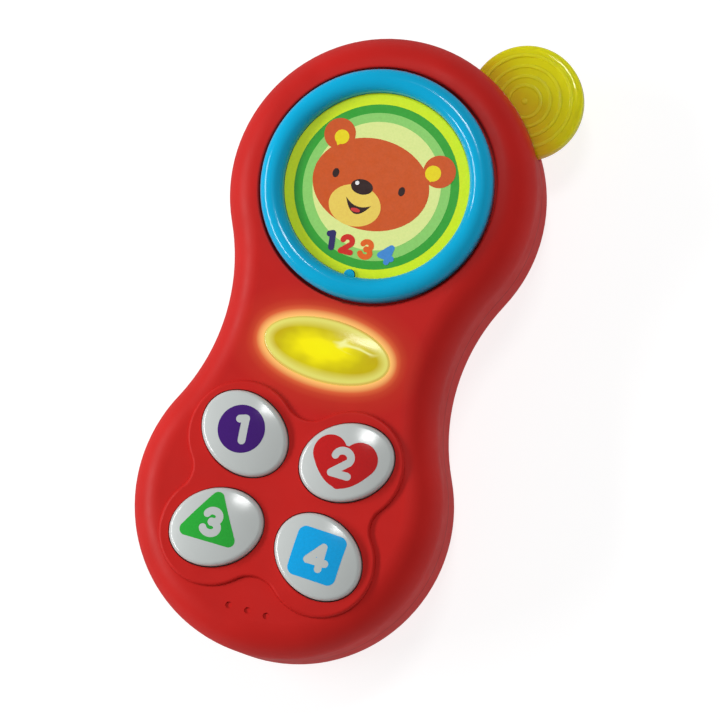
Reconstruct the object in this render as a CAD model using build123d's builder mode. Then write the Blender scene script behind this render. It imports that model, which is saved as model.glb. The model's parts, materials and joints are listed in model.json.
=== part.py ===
"""Toy cell phone: a two-lobed handset with a turning picture dial, four sprung buttons and a light.

Frame: the phone lies on its back. +X is to the phone's right, +Y towards its head and +Z out of its
face. The origin is the centre of the flat back. All sizes are in millimetres.
"""
from build123d import *
from math import cos, radians, sin, sqrt, tan
import os

os.makedirs("parts", exist_ok=True)

# ---- Driving dimensions: the body -------------------------------------------------------------
BODY_LENGTH = 155.0
BODY_WIDTH = 76.0
WAIST_WIDTH = 57.0
FACE_Z = 30.0
PARTING_Z = 14.5
WALL = 2.2
FACE_ROUND = 8.0
BACK_ROUND = 7.0
LIP_HEIGHT = 1.3
LIP_INSET = 1.15
LIP_GAP = 0.1

# ---- Driving dimensions: what is set into the face ---------------------------------------------
PLATFORM_RISE = 1.0
PLATFORM_LOBE_RADIUS = 13.3
PLATFORM_LOBE_X = 13.9
PLATFORM_LOBE_Y = 12.0
PLATFORM_WAIST_X = 23.0
PLATFORM_WAIST_Y = 19.8

BUTTON_GROUP_Y = -38.75
BUTTON_X = 13.05
BUTTON_Y = 11.75
BUTTON_LONG = 11.7
BUTTON_SHORT = 9.35
BUTTON_TILT = 28.0
BUTTON_TOP_Z = 34.0
BUTTON_GAP = 0.3

DIAL_RADIUS = 28.6
DIAL_HOLE_RADIUS = 22.9
DIAL_TOP_Z = 33.6
WELL_RADIUS = 29.3
WELL_FLOOR_Z = 28.0
HUB_HOLE_RADIUS = 8.0
SHAFT_GAP = 0.08

LENS_Y = -2.3
LENS_LONG = 16.0
LENS_SHORT = 7.6
LENS_TOP_Z = 31.8

ANTENNA_RADIUS = 14.2
ANTENNA_REACH = 40.8
ANTENNA_BEARING = 50.0
ANTENNA_LOW_Z = 12.5
ANTENNA_HIGH_Z = 17.5
RIDGE_RADII = (4.0, 6.3, 8.8, 11.5)
RIDGE_RISE = 0.35
RIDGE_HALF_WIDTH = 0.5
RIDGE_ROUND = 0.33
STUD_RADIUS = 0.8

# ---- Driving dimensions: what is inside and on the back ----------------------------------------
BATTERY_RADIUS = 5.25
BATTERY_LENGTH = 44.5
BATTERY_X = 5.6
BATTERY_Z = 7.85
BAY_HALF_WIDTH = 11.3
BAY_FOOT_Y = -50.0
BAY_HEAD_Y = 0.0
BAY_CEILING_Z = 13.4
BAY_WALL = 1.4
NUB_LENGTH = 1.0
CONTACT_THICKNESS = 0.4

DOOR_HALF_WIDTH = 13.2
DOOR_FOOT_Y = -54.0
DOOR_HEAD_Y = 8.0
DOOR_THICKNESS = 2.0
DOOR_GAP = 0.3
DOOR_SCREW_Y = 4.5
DOOR_TAB_X = 7.0
DOOR_TAB_HALF_WIDTH = 2.0
DOOR_TAB_REACH = 2.0

BOARD_BOTTOM_Z = 19.4
BOARD_TOP_Z = 21.0
BOARD_HALF_WIDTH = 21.5
BOARD_FOOT_Y = -63.5
BOARD_HEAD_Y = 6.0

SPEAKER_Y = 44.0
SPEAKER_RADIUS = 14.0
SWITCH_Y = 17.0
SWITCH_TRAVEL = 4.0
DIMPLE_Y = -67.5
DIMPLE_SPACING = 4.8
WIRE_RADIUS = 0.5

# ---- Derived sizes -----------------------------------------------------------------------------
LOBE_RADIUS = BODY_WIDTH / 2
LOBE_Y = BODY_LENGTH / 2 - LOBE_RADIUS
WAIST_X = WAIST_WIDTH / 2
HOLLOW_RADIUS = (LOBE_Y**2 + WAIST_X**2 - LOBE_RADIUS**2) / (2 * (LOBE_RADIUS - WAIST_X))
HOLLOW_X = WAIST_X + HOLLOW_RADIUS
HEAD = Vector(0, LOBE_Y)
TAIL = Vector(0, -LOBE_Y)
CEILING_Z = FACE_Z - WALL
PLATFORM_Z = FACE_Z + PLATFORM_RISE
BUTTON_PLACES = {
    1: (Vector(-BUTTON_X, BUTTON_GROUP_Y + BUTTON_Y), -BUTTON_TILT),
    2: (Vector(BUTTON_X, BUTTON_GROUP_Y + BUTTON_Y), BUTTON_TILT),
    3: (Vector(-BUTTON_X, BUTTON_GROUP_Y - BUTTON_Y), BUTTON_TILT),
    4: (Vector(BUTTON_X, BUTTON_GROUP_Y - BUTTON_Y), -BUTTON_TILT),
}
ANTENNA_WAY = Vector(cos(radians(ANTENNA_BEARING)), sin(radians(ANTENNA_BEARING)))
ANTENNA_CENTRE = HEAD + ANTENNA_WAY * ANTENNA_REACH
PEG_REACH = 23.5
PEG_SPREAD = 4.5
PEG_PLACES = [HEAD + ANTENNA_WAY * PEG_REACH + ANTENNA_WAY.rotate(Axis.Z, 90) * side
              for side in (-PEG_SPREAD, PEG_SPREAD)]
CASE_SCREW_PLACES = [(-11, 68.5), (-22.5, 10), (22.5, 10), (-12, -68), (12, -68)]
KEYPAD_SCREW_PLACES = [(0, -39.5), (0, -60.8)]
BOARD_SCREW_PLACES = [(-18.5, -11.5), (18.5, -11.5), *KEYPAD_SCREW_PLACES]
LENS_EAR_X = 18.6
LENS_SCREW_PLACES = [(-LENS_EAR_X, LENS_Y), (LENS_EAR_X, LENS_Y)]
SPEAKER_EAR_X = 18.2
SPEAKER_SCREW_PLACES = [(-SPEAKER_EAR_X, SPEAKER_Y), (SPEAKER_EAR_X, SPEAKER_Y)]
SWITCH_POST_SPREAD = 6.2
SWITCH_SCREW_PLACES = [(0, SWITCH_Y - SWITCH_POST_SPREAD), (0, SWITCH_Y + SWITCH_POST_SPREAD)]


# ---- Helpers -----------------------------------------------------------------------------------
def level(z):
    """Horizontal plane at height z."""
    return Plane.XY.offset(z)


def upright(x, y):
    """Vertical plane through (x, y), drawn with X across and Z up."""
    return Plane(origin=(x, y, 0), x_dir=(1, 0, 0), z_dir=(0, -1, 0))


def save(piece, name):
    """Label a finished piece and write its file."""
    piece.part.label = name
    export_step(piece.part, f"parts/{name}.step")


def lobed_face(middle, lobes, lobe_radius, hollows, hollow_radius, inset=0.0, mode=Mode.ADD):
    """Face of round lobes, in order round the middle, joined by the hollow arcs that follow them."""
    round_radius = lobe_radius - inset
    with BuildLine(Plane.XY) as edge:
        for number, lobe in enumerate(lobes):
            following = lobes[(number + 1) % len(lobes)]
            hollow = hollows[number]
            start = lobe + (hollows[number - 1] - lobe).normalized() * round_radius
            end = lobe + (hollow - lobe).normalized() * round_radius
            resume = following + (hollow - following).normalized() * round_radius
            crown = lobe + (lobe - middle).normalized() * round_radius
            dip = hollow + (middle - hollow).normalized() * (hollow_radius[number] + inset)
            ThreePointArc(start, crown, end)
            ThreePointArc(end, dip, resume)
    make_face(edge.edges(), mode=mode)


def body_face(inset=0.0, mode=Mode.ADD):
    """The phone's outline, drawn inset from its edge."""
    hollows = [Vector(-HOLLOW_X, 0), Vector(HOLLOW_X, 0)]
    lobed_face(Vector(0, 0), [HEAD, TAIL], LOBE_RADIUS, hollows, [HOLLOW_RADIUS] * 2, inset, mode)


def platform_face():
    """Clover outline of the raised pad that the buttons stand in."""
    radius = PLATFORM_LOBE_RADIUS
    x, y = PLATFORM_LOBE_X, PLATFORM_LOBE_Y
    low = PLATFORM_WAIST_Y
    wide = PLATFORM_WAIST_X
    end_radius = (x**2 + (low - y) ** 2 - radius**2) / (2 * (radius - (low - y)))
    side_radius = ((wide - x) ** 2 + y**2 - radius**2) / (2 * (radius - (wide - x)))
    lobes = [TAIL + Vector(*place) for place in ((x, y), (-x, y), (-x, -y), (x, -y))]
    end, side = low + end_radius, wide + side_radius
    hollows = [TAIL + Vector(*place) for place in ((0, end), (-side, 0), (0, -end), (side, 0))]
    lobed_face(TAIL, lobes, radius, hollows, [end_radius, side_radius] * 2)


def shell_block(inset, flat_z, open_z, rounding):
    """Body-shaped block from its flat face to its open face, with the flat face's edge rounded."""
    with BuildPart() as block:
        with BuildSketch(level(flat_z)) as outline:
            body_face(inset)
        extrude(outline.sketch, amount=open_z - flat_z)
        fillet(block.edges().filter_by_position(Axis.Z, flat_z, flat_z), rounding)
    return block.part


def posts(places, radius, low_z, high_z, mode=Mode.ADD):
    """Upright cylinders (or round holes) at the given places."""
    with BuildSketch(level(low_z)) as section:
        with Locations(*places):
            Circle(radius)
    extrude(section.sketch, amount=high_z - low_z, mode=mode)


def slab(x_range, y_range, z_range, mode=Mode.ADD):
    """Box between the given limits."""
    size = [high - low for low, high in (x_range, y_range, z_range)]
    middle = [(high + low) / 2 for low, high in (x_range, y_range, z_range)]
    with Locations(tuple(middle)):
        Box(*size, mode=mode)


def screw_group(places, head_radius, head_z, head_height, shank_radius, shank_length):
    """Round-headed cross screws that point up (positive lengths) or down (negative lengths)."""
    way = 1 if shank_length > 0 else -1
    seat_z = head_z + way * head_height
    with BuildPart() as screws:
        posts(places, head_radius, head_z, seat_z)
        fillet(screws.edges().filter_by_position(Axis.Z, head_z, head_z), head_height * 0.45)
        posts(places, shank_radius, seat_z, seat_z + shank_length)
        with BuildSketch(level(head_z)):
            with Locations(*places):
                Rectangle(head_radius * 1.2, head_radius * 0.28)
                Rectangle(head_radius * 0.28, head_radius * 1.2)
        extrude(amount=way * head_height * 0.6, mode=Mode.SUBTRACT)
    return screws


def wire(points):
    """Round wire along straight runs joined by the largest tangent arcs that the runs allow."""
    route = [Vector(*point) for point in points]
    bends = []
    for before, here, after in zip(route, route[1:], route[2:]):
        turn = radians((here - before).get_angle(after - here))
        shorter = min((here - before).length, (after - here).length)
        bends.append(0.45 * shorter / tan(turn / 2))
    print("wire bend radii", [round(bend, 1) for bend in bends])
    with BuildPart() as strand:
        with BuildLine() as path:
            FilletPolyline(*route, radius=bends)
        with BuildSketch(Plane(origin=path.line @ 0, z_dir=path.line % 0)):
            Circle(WIRE_RADIUS)
        sweep(path=path.line)
    print("wire volume", round(strand.part.volume, 2))
    return strand


# ---- Back shell --------------------------------------------------------------------------------
CASE_HEAD_Z = 5.0
CASE_HEAD_HEIGHT = 1.8
CASE_SHANK_RADIUS = 1.2
REAR_BOSS_RADIUS = 3.8
DOOR_RIM_WIDTH = 2.3
DOOR_RIM_TOP_Z = 4.0
DOOR_SCREW_TIP_Z = 5.5
SLOT_GAP = 0.2
PEG_RADIUS = 1.5
SHOE_HALF_DEPTH = 4.0
SHOE_FLOOR_Z = WALL + 0.3

rear_outside = shell_block(0, 0, PARTING_Z, BACK_ROUND)
rear_inside = shell_block(WALL, WALL, PARTING_Z, BACK_ROUND - WALL)

with BuildPart() as rear_housing:
    add(rear_outside)
    add(rear_inside, mode=Mode.SUBTRACT)
    # Lip that the front shell slides over
    with BuildSketch(level(PARTING_Z - 1)):
        body_face(LIP_INSET)
        body_face(WALL, Mode.SUBTRACT)
    extrude(amount=LIP_HEIGHT + 1)
    # Rim round the door and walls of the battery bay
    slab((-DOOR_HALF_WIDTH - DOOR_RIM_WIDTH, DOOR_HALF_WIDTH + DOOR_RIM_WIDTH),
         (DOOR_FOOT_Y - DOOR_TAB_REACH - 1.2, DOOR_HEAD_Y + 2), (WALL - 0.5, DOOR_RIM_TOP_Z))
    slab((-BAY_HALF_WIDTH - BAY_WALL, BAY_HALF_WIDTH + BAY_WALL),
         (BAY_FOOT_Y - BAY_WALL, BAY_HEAD_Y + BAY_WALL), (WALL, BAY_CEILING_Z + 1.6))
    # Bosses for the case screws, the door screw, the speaker and the switch
    posts(CASE_SCREW_PLACES, REAR_BOSS_RADIUS, WALL, PARTING_Z)
    posts([(0, DOOR_SCREW_Y)], 3.0, WALL, 7.0)
    posts(SPEAKER_SCREW_PLACES, 2.4, WALL - 0.5, 4.0)
    posts(SWITCH_SCREW_PLACES, 2.0, WALL - 0.5, 6.0)
    posts([(0, SPEAKER_Y)], SPEAKER_RADIUS + 1.7, WALL - 0.5, 3.6)
    posts([(0, SPEAKER_Y)], SPEAKER_RADIUS + 0.2, WALL, 3.6, Mode.SUBTRACT)
    # Guide rails of the switch's shoe
    for side in (-1, 1):
        rail = sorted((SWITCH_Y + side * (SHOE_HALF_DEPTH + 0.3), SWITCH_Y + side * (SHOE_HALF_DEPTH + 1.3)))
        slab((-10, 10), rail, (WALL - 0.5, SHOE_FLOOR_Z + 1.6))
    # Pegs that carry the antenna
    posts(PEG_PLACES, 2.8, WALL, ANTENNA_LOW_Z - SLOT_GAP)
    posts(PEG_PLACES, PEG_RADIUS, ANTENNA_LOW_Z - SLOT_GAP, ANTENNA_HIGH_Z + 1)
    posts([ANTENNA_CENTRE], ANTENNA_RADIUS + SLOT_GAP, ANTENNA_LOW_Z - RIDGE_RISE - SLOT_GAP,
          PARTING_Z + LIP_HEIGHT, Mode.SUBTRACT)
    # Door pocket, battery bay and the slots for the door's two tabs
    slab((-DOOR_HALF_WIDTH - DOOR_GAP, DOOR_HALF_WIDTH + DOOR_GAP),
         (DOOR_FOOT_Y - DOOR_GAP, DOOR_HEAD_Y + DOOR_GAP), (0, DOOR_THICKNESS + DOOR_GAP), Mode.SUBTRACT)
    slab((-BAY_HALF_WIDTH, BAY_HALF_WIDTH), (BAY_FOOT_Y, BAY_HEAD_Y), (0, BAY_CEILING_Z), Mode.SUBTRACT)
    tab_gap = DOOR_TAB_HALF_WIDTH + 0.4
    for x in (-DOOR_TAB_X, DOOR_TAB_X):
        slab((x - tab_gap, x + tab_gap), (DOOR_FOOT_Y - DOOR_TAB_REACH - 0.4, BAY_FOOT_Y - BAY_WALL),
             (DOOR_THICKNESS, DOOR_RIM_TOP_Z), Mode.SUBTRACT)
    # Slots in the bay's ceiling for the contact tabs
    for x in (-BATTERY_X, BATTERY_X):
        slab((x - 1.4, x + 1.4), (BAY_HEAD_Y - 0.8, BAY_HEAD_Y), (BAY_CEILING_Z, BAY_CEILING_Z + 1.6),
             Mode.SUBTRACT)
    # Screw holes, deep-set for the case screws
    posts(CASE_SCREW_PLACES, 2.7, 0, CASE_HEAD_Z + CASE_HEAD_HEIGHT, Mode.SUBTRACT)
    posts(CASE_SCREW_PLACES, CASE_SHANK_RADIUS + 0.3, CASE_HEAD_Z, PARTING_Z, Mode.SUBTRACT)
    posts([(0, DOOR_SCREW_Y)], 1.3, DOOR_THICKNESS, DOOR_SCREW_TIP_Z + 0.6, Mode.SUBTRACT)
    posts(SPEAKER_SCREW_PLACES, 0.9, WALL - 0.2, 4.0, Mode.SUBTRACT)
    posts(SWITCH_SCREW_PLACES, 0.8, WALL, 6.0, Mode.SUBTRACT)
    # Speaker grille and the slot of the on-off slider
    with BuildSketch():
        with Locations((0, SPEAKER_Y)):
            Circle(0.9)
            for radius, count in ((3.2, 6), (6.4, 12)):
                with PolarLocations(radius, count):
                    Circle(0.9)
        with Locations((0, SWITCH_Y)):
            RectangleRounded(9.6, 4.8, 0.5)
    extrude(amount=WALL, mode=Mode.SUBTRACT)
save(rear_housing, "rear_housing")

# ---- Front shell -------------------------------------------------------------------------------
FRONT_BOSS_RADIUS = 3.2
PILOT_GAP = 0.05
CASE_PILOT_TOP_Z = 23.0
BOARD_PILOT_TOP_Z = 26.5
LENS_PILOT_TOP_Z = 29.3
BOARD_SHANK_RADIUS = 0.9
LENS_SHANK_RADIUS = 0.8
DIAL_BOSS_Z = WELL_FLOOR_Z - WALL
CLICK_POST = (-15.2, 58.5)
CLICK_PEG_RADIUS = 0.6
CLICK_SPRING_LOW_Z = 23.6
CLICK_SPRING_HIGH_Z = 25.3

front_outside = shell_block(0, FACE_Z, PARTING_Z, FACE_ROUND)
front_inside = shell_block(WALL, CEILING_Z, PARTING_Z, FACE_ROUND - WALL)

with BuildPart() as front_housing:
    add(front_outside)
    add(front_inside, mode=Mode.SUBTRACT)
    # Raised clover pad
    with BuildSketch(level(FACE_Z - 0.5)):
        platform_face()
    extrude(amount=PLATFORM_RISE + 0.5)
    fillet(front_housing.edges().filter_by_position(Axis.Z, PLATFORM_Z, PLATFORM_Z), 0.75)
    # Well of the dial, with a rounded lip
    posts([HEAD], WELL_RADIUS + 1.7, DIAL_BOSS_Z, CEILING_Z)
    posts([HEAD], WELL_RADIUS, WELL_FLOOR_Z, FACE_Z, Mode.SUBTRACT)
    fillet(front_housing.edges().filter_by(GeomType.CIRCLE).filter_by_position(Axis.Z, FACE_Z, FACE_Z)
           .filter_by(lambda edge: abs(edge.radius - WELL_RADIUS) < 0.01), 0.5)
    # Bosses for the case, board, antenna and dial spring
    posts(CASE_SCREW_PLACES, FRONT_BOSS_RADIUS, PARTING_Z, CEILING_Z)
    posts(BOARD_SCREW_PLACES, 2.2, BOARD_TOP_Z, CEILING_Z)
    posts(PEG_PLACES, 2.8, ANTENNA_HIGH_Z + SLOT_GAP, CEILING_Z)
    posts([CLICK_POST], 2.4, CLICK_SPRING_HIGH_Z, DIAL_BOSS_Z)
    posts([CLICK_POST], CLICK_PEG_RADIUS, CLICK_SPRING_LOW_Z, CLICK_SPRING_HIGH_Z)
    posts([CLICK_POST], CLICK_PEG_RADIUS + 0.5, CLICK_SPRING_LOW_Z - 0.6, CLICK_SPRING_LOW_Z)
    # Openings for the dial's hub, the lens and the buttons
    posts([HEAD], HUB_HOLE_RADIUS, DIAL_BOSS_Z, WELL_FLOOR_Z, Mode.SUBTRACT)
    with BuildSketch(level(CEILING_Z)):
        with Locations((0, LENS_Y)):
            Ellipse(LENS_LONG + 0.15, LENS_SHORT + 0.15)
        for place, tilt in BUTTON_PLACES.values():
            with Locations(place):
                Ellipse(BUTTON_LONG + BUTTON_GAP, BUTTON_SHORT + BUTTON_GAP, rotation=tilt)
    extrude(amount=PLATFORM_Z - CEILING_Z, mode=Mode.SUBTRACT)
    # Pilot holes
    posts(CASE_SCREW_PLACES, CASE_SHANK_RADIUS + PILOT_GAP, PARTING_Z, CASE_PILOT_TOP_Z, Mode.SUBTRACT)
    posts(BOARD_SCREW_PLACES, BOARD_SHANK_RADIUS + PILOT_GAP, BOARD_TOP_Z, BOARD_PILOT_TOP_Z, Mode.SUBTRACT)
    posts(LENS_SCREW_PLACES, LENS_SHANK_RADIUS + PILOT_GAP, CEILING_Z, LENS_PILOT_TOP_Z, Mode.SUBTRACT)
    posts(PEG_PLACES, PEG_RADIUS + 0.1, ANTENNA_HIGH_Z, ANTENNA_HIGH_Z + 1.4, Mode.SUBTRACT)
    # Rabbet over the back shell's lip, and the antenna's slot
    with BuildSketch(level(PARTING_Z)):
        body_face(LIP_INSET - LIP_GAP)
        body_face(WALL + LIP_GAP, Mode.SUBTRACT)
    extrude(amount=LIP_HEIGHT + LIP_GAP, mode=Mode.SUBTRACT)
    posts([ANTENNA_CENTRE], ANTENNA_RADIUS + SLOT_GAP, PARTING_Z, ANTENNA_HIGH_Z + RIDGE_RISE + SLOT_GAP,
          Mode.SUBTRACT)
    # Microphone dimples
    posts([(side * DIMPLE_SPACING, DIMPLE_Y) for side in (-1, 0, 1)], 0.8, FACE_Z - 0.4, FACE_Z, Mode.SUBTRACT)
save(front_housing, "front_housing")

# ---- Case screws, all alike, driven from the back ----------------------------------------------
case_screws = screw_group(CASE_SCREW_PLACES, 2.45, CASE_HEAD_Z, CASE_HEAD_HEIGHT, CASE_SHANK_RADIUS, 15.0)
save(case_screws, "case_screws")

# ---- Antenna -----------------------------------------------------------------------------------
TONGUE_WIDTH = 15.0
TONGUE_LENGTH = 13.0

with BuildPart() as antenna:
    posts([ANTENNA_CENTRE], ANTENNA_RADIUS, ANTENNA_LOW_Z, ANTENNA_HIGH_Z)
    fillet(antenna.edges().filter_by(GeomType.CIRCLE), 1.6)
    # Rounded ridges and a middle stud on both faces
    for z, rise in ((ANTENNA_LOW_Z, -RIDGE_RISE), (ANTENNA_HIGH_Z, RIDGE_RISE)):
        for radius in RIDGE_RADII:
            with BuildSketch(level(z)):
                with Locations(ANTENNA_CENTRE):
                    Circle(radius + RIDGE_HALF_WIDTH)
                    Circle(radius - RIDGE_HALF_WIDTH, mode=Mode.SUBTRACT)
            extrude(amount=rise)
        posts([ANTENNA_CENTRE], STUD_RADIUS, z, z + rise)
        fillet(antenna.edges().filter_by_position(Axis.Z, z + rise, z + rise), RIDGE_ROUND)
    # Tongue that the two pegs hold inside the body
    tongue_middle = HEAD + ANTENNA_WAY * (PEG_REACH + TONGUE_LENGTH / 2 - 3.5)
    with BuildSketch(level(ANTENNA_LOW_Z)):
        with Locations(Location((tongue_middle.X, tongue_middle.Y, 0), ANTENNA_BEARING)):
            RectangleRounded(TONGUE_LENGTH, TONGUE_WIDTH, 2.5)
    extrude(amount=ANTENNA_HIGH_Z - ANTENNA_LOW_Z)
    posts(PEG_PLACES, PEG_RADIUS + 0.1, ANTENNA_LOW_Z, ANTENNA_HIGH_Z, Mode.SUBTRACT)
save(antenna, "antenna")

# ---- Dial: rimmed ring with its hub, picture, retainer, screw and click spring -------------------
DIAL_FLOOR_LOW_Z = WELL_FLOOR_Z + 0.4
DIAL_FLOOR_HIGH_Z = 29.4
PICTURE_TOP_Z = 30.2
HUB_RADIUS = HUB_HOLE_RADIUS - SHAFT_GAP
HUB_END_Z = 25.4
HEX_END_Z = 24.3
HEX_RADIUS = 4.8
RETAINER_RADIUS = 11.0
RETAINER_LOW_Z = CLICK_SPRING_LOW_Z
TOOTH_COUNT = 24
KEY_PLACE = HEAD + Vector(0, -DIAL_HOLE_RADIUS + 0.2)
KEY_RADIUS = 1.3
RING_SECTION = (DIAL_RADIUS - DIAL_HOLE_RADIUS) / 2
RING_SHOULDER_Z = DIAL_TOP_Z - RING_SECTION

with BuildPart() as dial_ring:
    with BuildSketch(upright(0, LOBE_Y)):
        with BuildLine():
            Line((DIAL_HOLE_RADIUS, RING_SHOULDER_Z), (DIAL_HOLE_RADIUS, DIAL_FLOOR_LOW_Z))
            Line((DIAL_HOLE_RADIUS, DIAL_FLOOR_LOW_Z), (DIAL_RADIUS, DIAL_FLOOR_LOW_Z))
            Line((DIAL_RADIUS, DIAL_FLOOR_LOW_Z), (DIAL_RADIUS, RING_SHOULDER_Z))
            CenterArc((DIAL_RADIUS - RING_SECTION, RING_SHOULDER_Z), RING_SECTION, 0, 180)
        make_face()
    revolve(axis=Axis((0, LOBE_Y, 0), (0, 0, 1)))
    posts([HEAD], DIAL_HOLE_RADIUS + 0.5, DIAL_FLOOR_LOW_Z, DIAL_FLOOR_HIGH_Z)
    posts([HEAD], HUB_RADIUS, HUB_END_Z, DIAL_FLOOR_LOW_Z)
    with BuildSketch(level(HEX_END_Z)):
        with Locations(HEAD):
            RegularPolygon(HEX_RADIUS, 6)
    extrude(amount=HUB_END_Z - HEX_END_Z)
    posts([KEY_PLACE], KEY_RADIUS, DIAL_FLOOR_LOW_Z, PICTURE_TOP_Z + 0.6)
    posts([HEAD], CASE_SHANK_RADIUS + PILOT_GAP, HEX_END_Z, DIAL_FLOOR_HIGH_Z - 0.5, Mode.SUBTRACT)
save(dial_ring, "dial_ring")

with BuildPart() as picture_disc:
    posts([HEAD], DIAL_HOLE_RADIUS - 0.1, DIAL_FLOOR_HIGH_Z, PICTURE_TOP_Z)
    posts([KEY_PLACE], KEY_RADIUS + 0.15, DIAL_FLOOR_HIGH_Z, PICTURE_TOP_Z, Mode.SUBTRACT)
save(picture_disc, "picture_disc")

with BuildPart() as dial_retainer:
    posts([HEAD], RETAINER_RADIUS, RETAINER_LOW_Z, HUB_END_Z)
    with BuildSketch(level(RETAINER_LOW_Z)):
        with Locations(HEAD):
            with PolarLocations(RETAINER_RADIUS + 0.3, TOOTH_COUNT):
                Circle(0.9)
    extrude(amount=HUB_END_Z - RETAINER_LOW_Z, mode=Mode.SUBTRACT)
    with BuildSketch(level(HEX_END_Z - 0.05)):
        with Locations(HEAD):
            RegularPolygon(HEX_RADIUS + 0.1, 6)
    extrude(amount=HUB_END_Z - HEX_END_Z + 0.05, mode=Mode.SUBTRACT)
    posts([HEAD], CASE_SHANK_RADIUS + 0.2, RETAINER_LOW_Z, HEX_END_Z, Mode.SUBTRACT)
save(dial_retainer, "dial_retainer")

dial_screw = screw_group([HEAD], 2.4, RETAINER_LOW_Z - 1.5, 1.5, CASE_SHANK_RADIUS, 5.0)
save(dial_screw, "dial_screw")

with BuildPart() as dial_click_spring:
    # Bent leaf that runs from its post to beside the retainer's teeth
    with BuildSketch(level(CLICK_SPRING_LOW_Z)):
        with BuildLine():
            Polyline(CLICK_POST, (-13.6, 47.5), (-11.7, LOBE_Y), (-13.2, 35.5))
        trace(line_width=0.4)
        with Locations(CLICK_POST):
            Circle(1.3)
            Circle(CLICK_PEG_RADIUS + 0.05, mode=Mode.SUBTRACT)
    extrude(amount=CLICK_SPRING_HIGH_Z - CLICK_SPRING_LOW_Z)
save(dial_click_spring, "dial_click_spring")

# ---- Light: lens, its screws, reflector and lamp ------------------------------------------------
LENS_FLANGE_LOW_Z = 26.3
LENS_LENGTH_BOW = 76.0
LENS_WIDTH_BOW = 22.9
LENS_EAR_RADIUS = 2.0
LAMP_RADIUS = 2.5

with BuildPart() as light_lens:
    with BuildSketch(level(LENS_FLANGE_LOW_Z)):
        with Locations((0, LENS_Y)):
            Ellipse(LENS_LONG, LENS_SHORT)
    extrude(amount=LENS_TOP_Z - LENS_FLANGE_LOW_Z)
    # Crown: a barrel, bowed along the lens and rounder across it
    barrel_axis_z = LENS_TOP_Z - LENS_WIDTH_BOW
    end_x = LENS_LONG + 2
    end_y = LENS_Y - LENS_WIDTH_BOW + LENS_LENGTH_BOW - sqrt(LENS_LENGTH_BOW**2 - end_x**2)
    with BuildSketch(level(barrel_axis_z)):
        with BuildLine():
            ThreePointArc((-end_x, end_y), (0, LENS_Y - LENS_WIDTH_BOW), (end_x, end_y))
            Polyline((end_x, end_y), (end_x, LENS_Y), (-end_x, LENS_Y), (-end_x, end_y))
        make_face()
    revolve(axis=Axis((0, LENS_Y, barrel_axis_z), (1, 0, 0)), mode=Mode.INTERSECT)
    fillet(light_lens.edges().group_by(Axis.Z)[-1], 0.5)
    with BuildSketch(level(LENS_FLANGE_LOW_Z)):
        with Locations((0, LENS_Y)):
            Ellipse(LENS_LONG + 1.5, LENS_SHORT + 1.5)
            Rectangle(2 * LENS_EAR_X, 2 * LENS_EAR_RADIUS)
        with Locations(*LENS_SCREW_PLACES):
            Circle(LENS_EAR_RADIUS)
    extrude(amount=CEILING_Z - LENS_FLANGE_LOW_Z)
    with BuildSketch(level(LENS_FLANGE_LOW_Z)):
        with Locations((0, LENS_Y)):
            Ellipse(LENS_LONG - 1.6, LENS_SHORT - 1.6)
    extrude(amount=3.0, mode=Mode.SUBTRACT)
    posts(LENS_SCREW_PLACES, 0.95, LENS_FLANGE_LOW_Z, CEILING_Z, Mode.SUBTRACT)
save(light_lens, "light_lens")

lens_screws = screw_group(LENS_SCREW_PLACES, 1.8, LENS_FLANGE_LOW_Z - 1.2, 1.2, LENS_SHANK_RADIUS, 2.8)
save(lens_screws, "lens_screws")

REFLECTOR_LOW_Z = BOARD_TOP_Z + 0.2
REFLECTOR_HIGH_Z = LENS_FLANGE_LOW_Z - 0.1

with BuildPart() as light_reflector:
    for wall, mode in ((0.8, Mode.ADD), (0.0, Mode.SUBTRACT)):
        with BuildSketch(level(REFLECTOR_LOW_Z)):
            with Locations((0, LENS_Y)):
                Circle(LAMP_RADIUS + 0.6 + wall)
        with BuildSketch(level(REFLECTOR_HIGH_Z)):
            with Locations((0, LENS_Y)):
                Ellipse(LENS_LONG - 0.6 + wall, LENS_SHORT - 0.6 + wall)
        loft(mode=mode)
save(light_reflector, "light_reflector")

with BuildPart() as lamp:
    posts([(0, LENS_Y)], LAMP_RADIUS + 0.4, BOARD_TOP_Z, BOARD_TOP_Z + 0.9)
    posts([(0, LENS_Y)], LAMP_RADIUS, BOARD_TOP_Z + 0.9, BOARD_TOP_Z + 3.4)
    with Locations((0, LENS_Y, BOARD_TOP_Z + 3.4)):
        Sphere(LAMP_RADIUS)
save(lamp, "lamp")

# ---- Buttons and the rubber keypad ---------------------------------------------------------------
BUTTON_WALL = 1.6
FLANGE_SPREAD = 1.2
FLANGE_LOW_Z = 26.0
FLANGE_HIGH_Z = CEILING_Z - 0.3
CROWN_RADIUS = 34.0
CROWN_ROUND = 1.3
PLUNGER_RADIUS = 4.0
PLUNGER_END_Z = 25.3
DOME_BASE_Z = 22.0
DOME_TOP_Z = PLUNGER_END_Z - 0.1
KEYPAD_FOOT_Y = -62.5
KEYPAD_HEAD_Y = -16.5

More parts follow.
